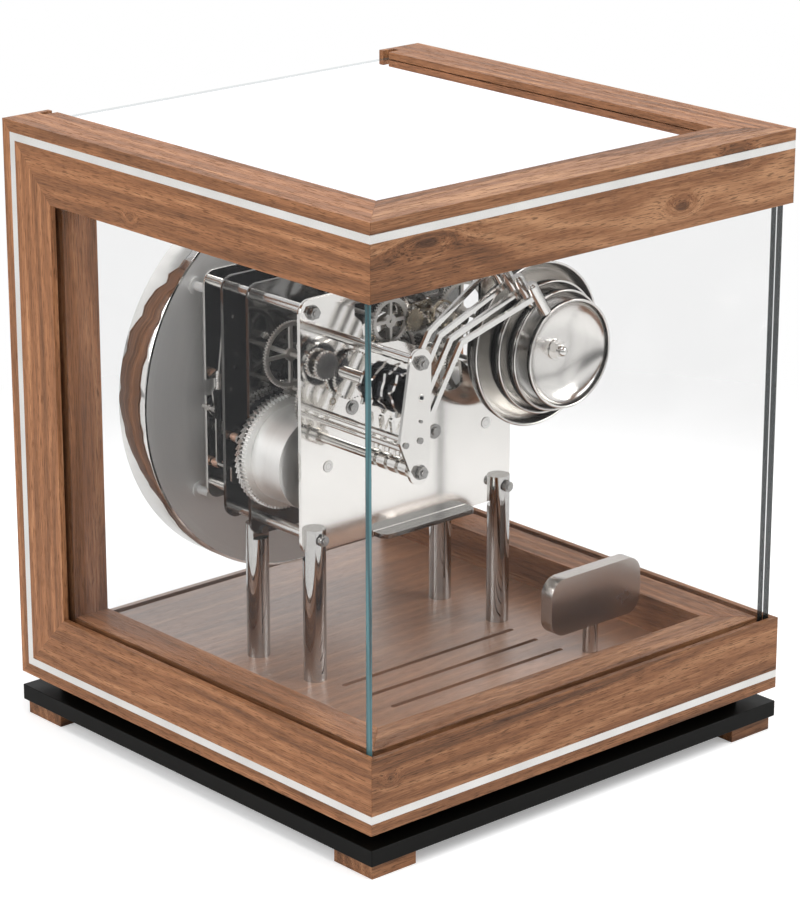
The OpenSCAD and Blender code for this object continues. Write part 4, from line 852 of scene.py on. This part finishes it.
class CLOCK_OT_dial(bpy.types.Operator):
    """Finish the dial, its rim, the hands and the winding key"""
    bl_idname = "clock.dial"
    bl_label = "Dial, hands and key"

    def execute(self, context):
        metal = context.scene.clock_metal
        ink = enamel("hand enamel", tuple(context.scene.clock_dial.ink))
        finish_node("dial_disc", dial_metal("dial steel"))
        finish_node("dial_rim", polished("dial rim", tuple(metal.steel), 0.05))
        finish_node("chapter_ring", enamel("silvered ring", (0.72, 0.72, 0.70), 0.35))
        finish_node("hour_hand", ink)
        finish_node("minute_hand", ink)
        finish_node("winding_key", polished("key steel", (0.50, 0.46, 0.43), 0.22, 0.08))
        ease("winding_key", 0.0009, steps=3)
        ease("dial_rim", 0.0003)
        dial = context.scene.clock_dial
        ring_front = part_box("chapter_ring")[0].y
        centre = Vector((ARBOR.x, ring_front + 0.001, ARBOR.z))
        dot_ring("minute_dots", centre, dial.dots, DOT_REACH, dial.dot_size, 0.0003, ink, "black_hands")
        return {"FINISHED"}


class CLOCK_OT_stage(bpy.types.Operator):
    """Set the pale floor, the soft light and the camera"""
    bl_idname = "clock.stage"
    bl_label = "Floor, light and camera"

    def execute(self, context):
        scene = context.scene
        white_surround(scene)
        pale_floor()
        soft_light("left softbox", (-1.2, 1.3, 1.5), (-0.1, 0.0, 0.15), 1.2, 26.0)
        soft_light("right softbox", (1.9, -0.3, 1.2), (0.05, 0.0, 0.15), 1.2, 20.0)
        soft_light("top softbox", (0.2, 0.3, 2.0), (0.0, 0.0, 0.1), 1.6, 24.0)
        photo_camera(scene)
        scene.view_settings.view_transform = "Standard"
        return {"FINISHED"}


def white_surround(scene):
    """A studio that is white behind the clock. Metal also shows it darker overhead and on the camera's side."""
    world = bpy.data.worlds.new("studio")
    scene.world = world
    world.use_nodes = True
    tree = world.node_tree
    tree.nodes.clear()
    out = tree.nodes.new("ShaderNodeOutputWorld")
    light, seen, mirrored = (tree.nodes.new("ShaderNodeBackground") for _ in range(3))
    inner, outer = tree.nodes.new("ShaderNodeMixShader"), tree.nodes.new("ShaderNodeMixShader")
    path = tree.nodes.new("ShaderNodeLightPath")
    aim = tree.nodes.new("ShaderNodeSeparateXYZ")
    tree.links.new(tree.nodes.new("ShaderNodeTexCoord").outputs["Generated"], aim.inputs[0])
    x, y, z = (Field(tree, socket) for socket in aim.outputs)
    toward = x * 0.66 + y * 0.75
    shade = 1 - toward.above(0.35, 0.8) * z.below(0.12, 0.28) * 0.86 - z.above(0.45, 0.7) * 0.45
    shade = shade + toward.below(-0.75, -0.35) * z.above(0.12, 0.25) * z.below(0.5, 0.65) * 0.25
    light.inputs["Strength"].default_value = 0.45
    seen.inputs["Strength"].default_value = 1.0
    for node in (light, seen, mirrored):
        node.inputs["Color"].default_value = (1.0, 1.0, 1.0, 1.0)
    connect(tree, mirrored.inputs["Strength"], shade)
    through = Field(tree, path.outputs["Is Transmission Ray"])
    ray = Field(tree, path.outputs["Is Camera Ray"]).math("MAXIMUM", through)
    tree.links.new(ray.socket, inner.inputs[0])
    tree.links.new(light.outputs[0], inner.inputs[1])
    tree.links.new(seen.outputs[0], inner.inputs[2])
    tree.links.new(path.outputs["Is Glossy Ray"], outer.inputs[0])
    tree.links.new(inner.outputs[0], outer.inputs[1])
    tree.links.new(mirrored.outputs[0], outer.inputs[2])
    tree.links.new(outer.outputs[0], out.inputs[0])


def pale_floor():
    """A white floor that keeps the clock's shadow."""
    size = 6.0
    mesh = bpy.data.meshes.new("floor")
    mesh.from_pydata([(-size, -size, 0), (size, -size, 0), (size, size, 0), (-size, size, 0)], [], [(0, 1, 2, 3)])
    floor = bpy.data.objects.new("floor", mesh)
    bpy.context.scene.collection.objects.link(floor)
    finish = Finish("pale floor", rough=0.9, colour=(0.86, 0.86, 0.86))
    x, y, z = finish.parts(finish.place())
    reach = (x * x + y * y) ** 0.5
    far = reach.above(0.30, 0.65)
    seen = finish.node("ShaderNodeLightPath", output="Is Camera Ray")
    mirrored = finish.node("ShaderNodeLightPath", output="Is Glossy Ray")
    shade = 0.86 - mirrored * reach.above(0.40, 0.60) * 0.2 - seen * far * 0.86
    finish.set("Base Color", finish.join(shade, shade, shade))
    finish.set("Emission Color", (1.0, 1.0, 1.0, 1.0))
    finish.set("Emission Strength", seen * (far * 0.7 + 0.3))
    finish.shader.inputs["Specular IOR Level"].default_value = 0.0
    mesh.materials.append(finish.material)


def soft_light(name, place, target, size, power):
    """A square lamp at a place, turned to its target."""
    lamp = bpy.data.lights.new(name, "AREA")
    lamp.shape = "SQUARE"
    lamp.size = size
    lamp.energy = power
    holder = bpy.data.objects.new(name, lamp)
    holder.location = place
    holder.rotation_euler = (Vector(target) - Vector(place)).to_track_quat("-Z", "Y").to_euler()
    bpy.context.scene.collection.objects.link(holder)


def photo_camera(scene):
    """The photograph's viewing angle, from behind and to the right of the clock."""
    camera = bpy.data.cameras.new("photo camera")
    camera.sensor_width = 36.0
    camera.lens = 134.6
    holder = bpy.data.objects.new("photo camera", camera)
    scene.collection.objects.link(holder)
    place = Vector((1.1130, 1.2546, 0.7049))
    yaw, pitch = 0.72667, 0.3224
    ahead = Vector((-math.sin(yaw) * math.cos(pitch), -math.cos(yaw) * math.cos(pitch), -math.sin(pitch)))
    holder.location = place
    holder.rotation_euler = ahead.to_track_quat("-Z", "Y").to_euler()
    camera.clip_end = 50.0
    scene.camera = holder


class CLOCK_PT_panel(bpy.types.Panel):
    """Lists the clock's finishing steps"""
    bl_label = "Table Clock"
    bl_idname = "CLOCK_PT_panel"
    bl_space_type = "VIEW_3D"
    bl_region_type = "UI"
    bl_category = "Clock"

    def draw(self, context):
        layout = self.layout
        for group in (context.scene.clock_wood, context.scene.clock_metal, context.scene.clock_dial):
            box = layout.box()
            for key in group.bl_rna.properties.keys():
                if key not in ("rna_type", "name"):
                    box.prop(group, key)
        for operator in OPERATORS:
            layout.operator(operator.bl_idname)


GROUPS = {"clock_wood": ClockWood, "clock_metal": ClockMetal, "clock_dial": ClockDial}
OPERATORS = (CLOCK_OT_case, CLOCK_OT_glass, CLOCK_OT_movement, CLOCK_OT_details, CLOCK_OT_chime, CLOCK_OT_dial,
             CLOCK_OT_stage)


def register():
    for group in (*GROUPS.values(), *OPERATORS, CLOCK_PT_panel):
        bpy.utils.register_class(group)
    for name, group in GROUPS.items():
        setattr(bpy.types.Scene, name, bpy.props.PointerProperty(type=group))


def unregister():
    for name in GROUPS:
        delattr(bpy.types.Scene, name)
    for group in (CLOCK_PT_panel, *OPERATORS, *GROUPS.values()):
        bpy.utils.unregister_class(group)


def main():
    register()
    bpy.ops.clock.case()
    bpy.ops.clock.glass()
    bpy.ops.clock.movement()
    bpy.ops.clock.details()
    bpy.ops.clock.chime()
    bpy.ops.clock.dial()
    bpy.ops.clock.stage()


if __name__ == "__main__":
    main()
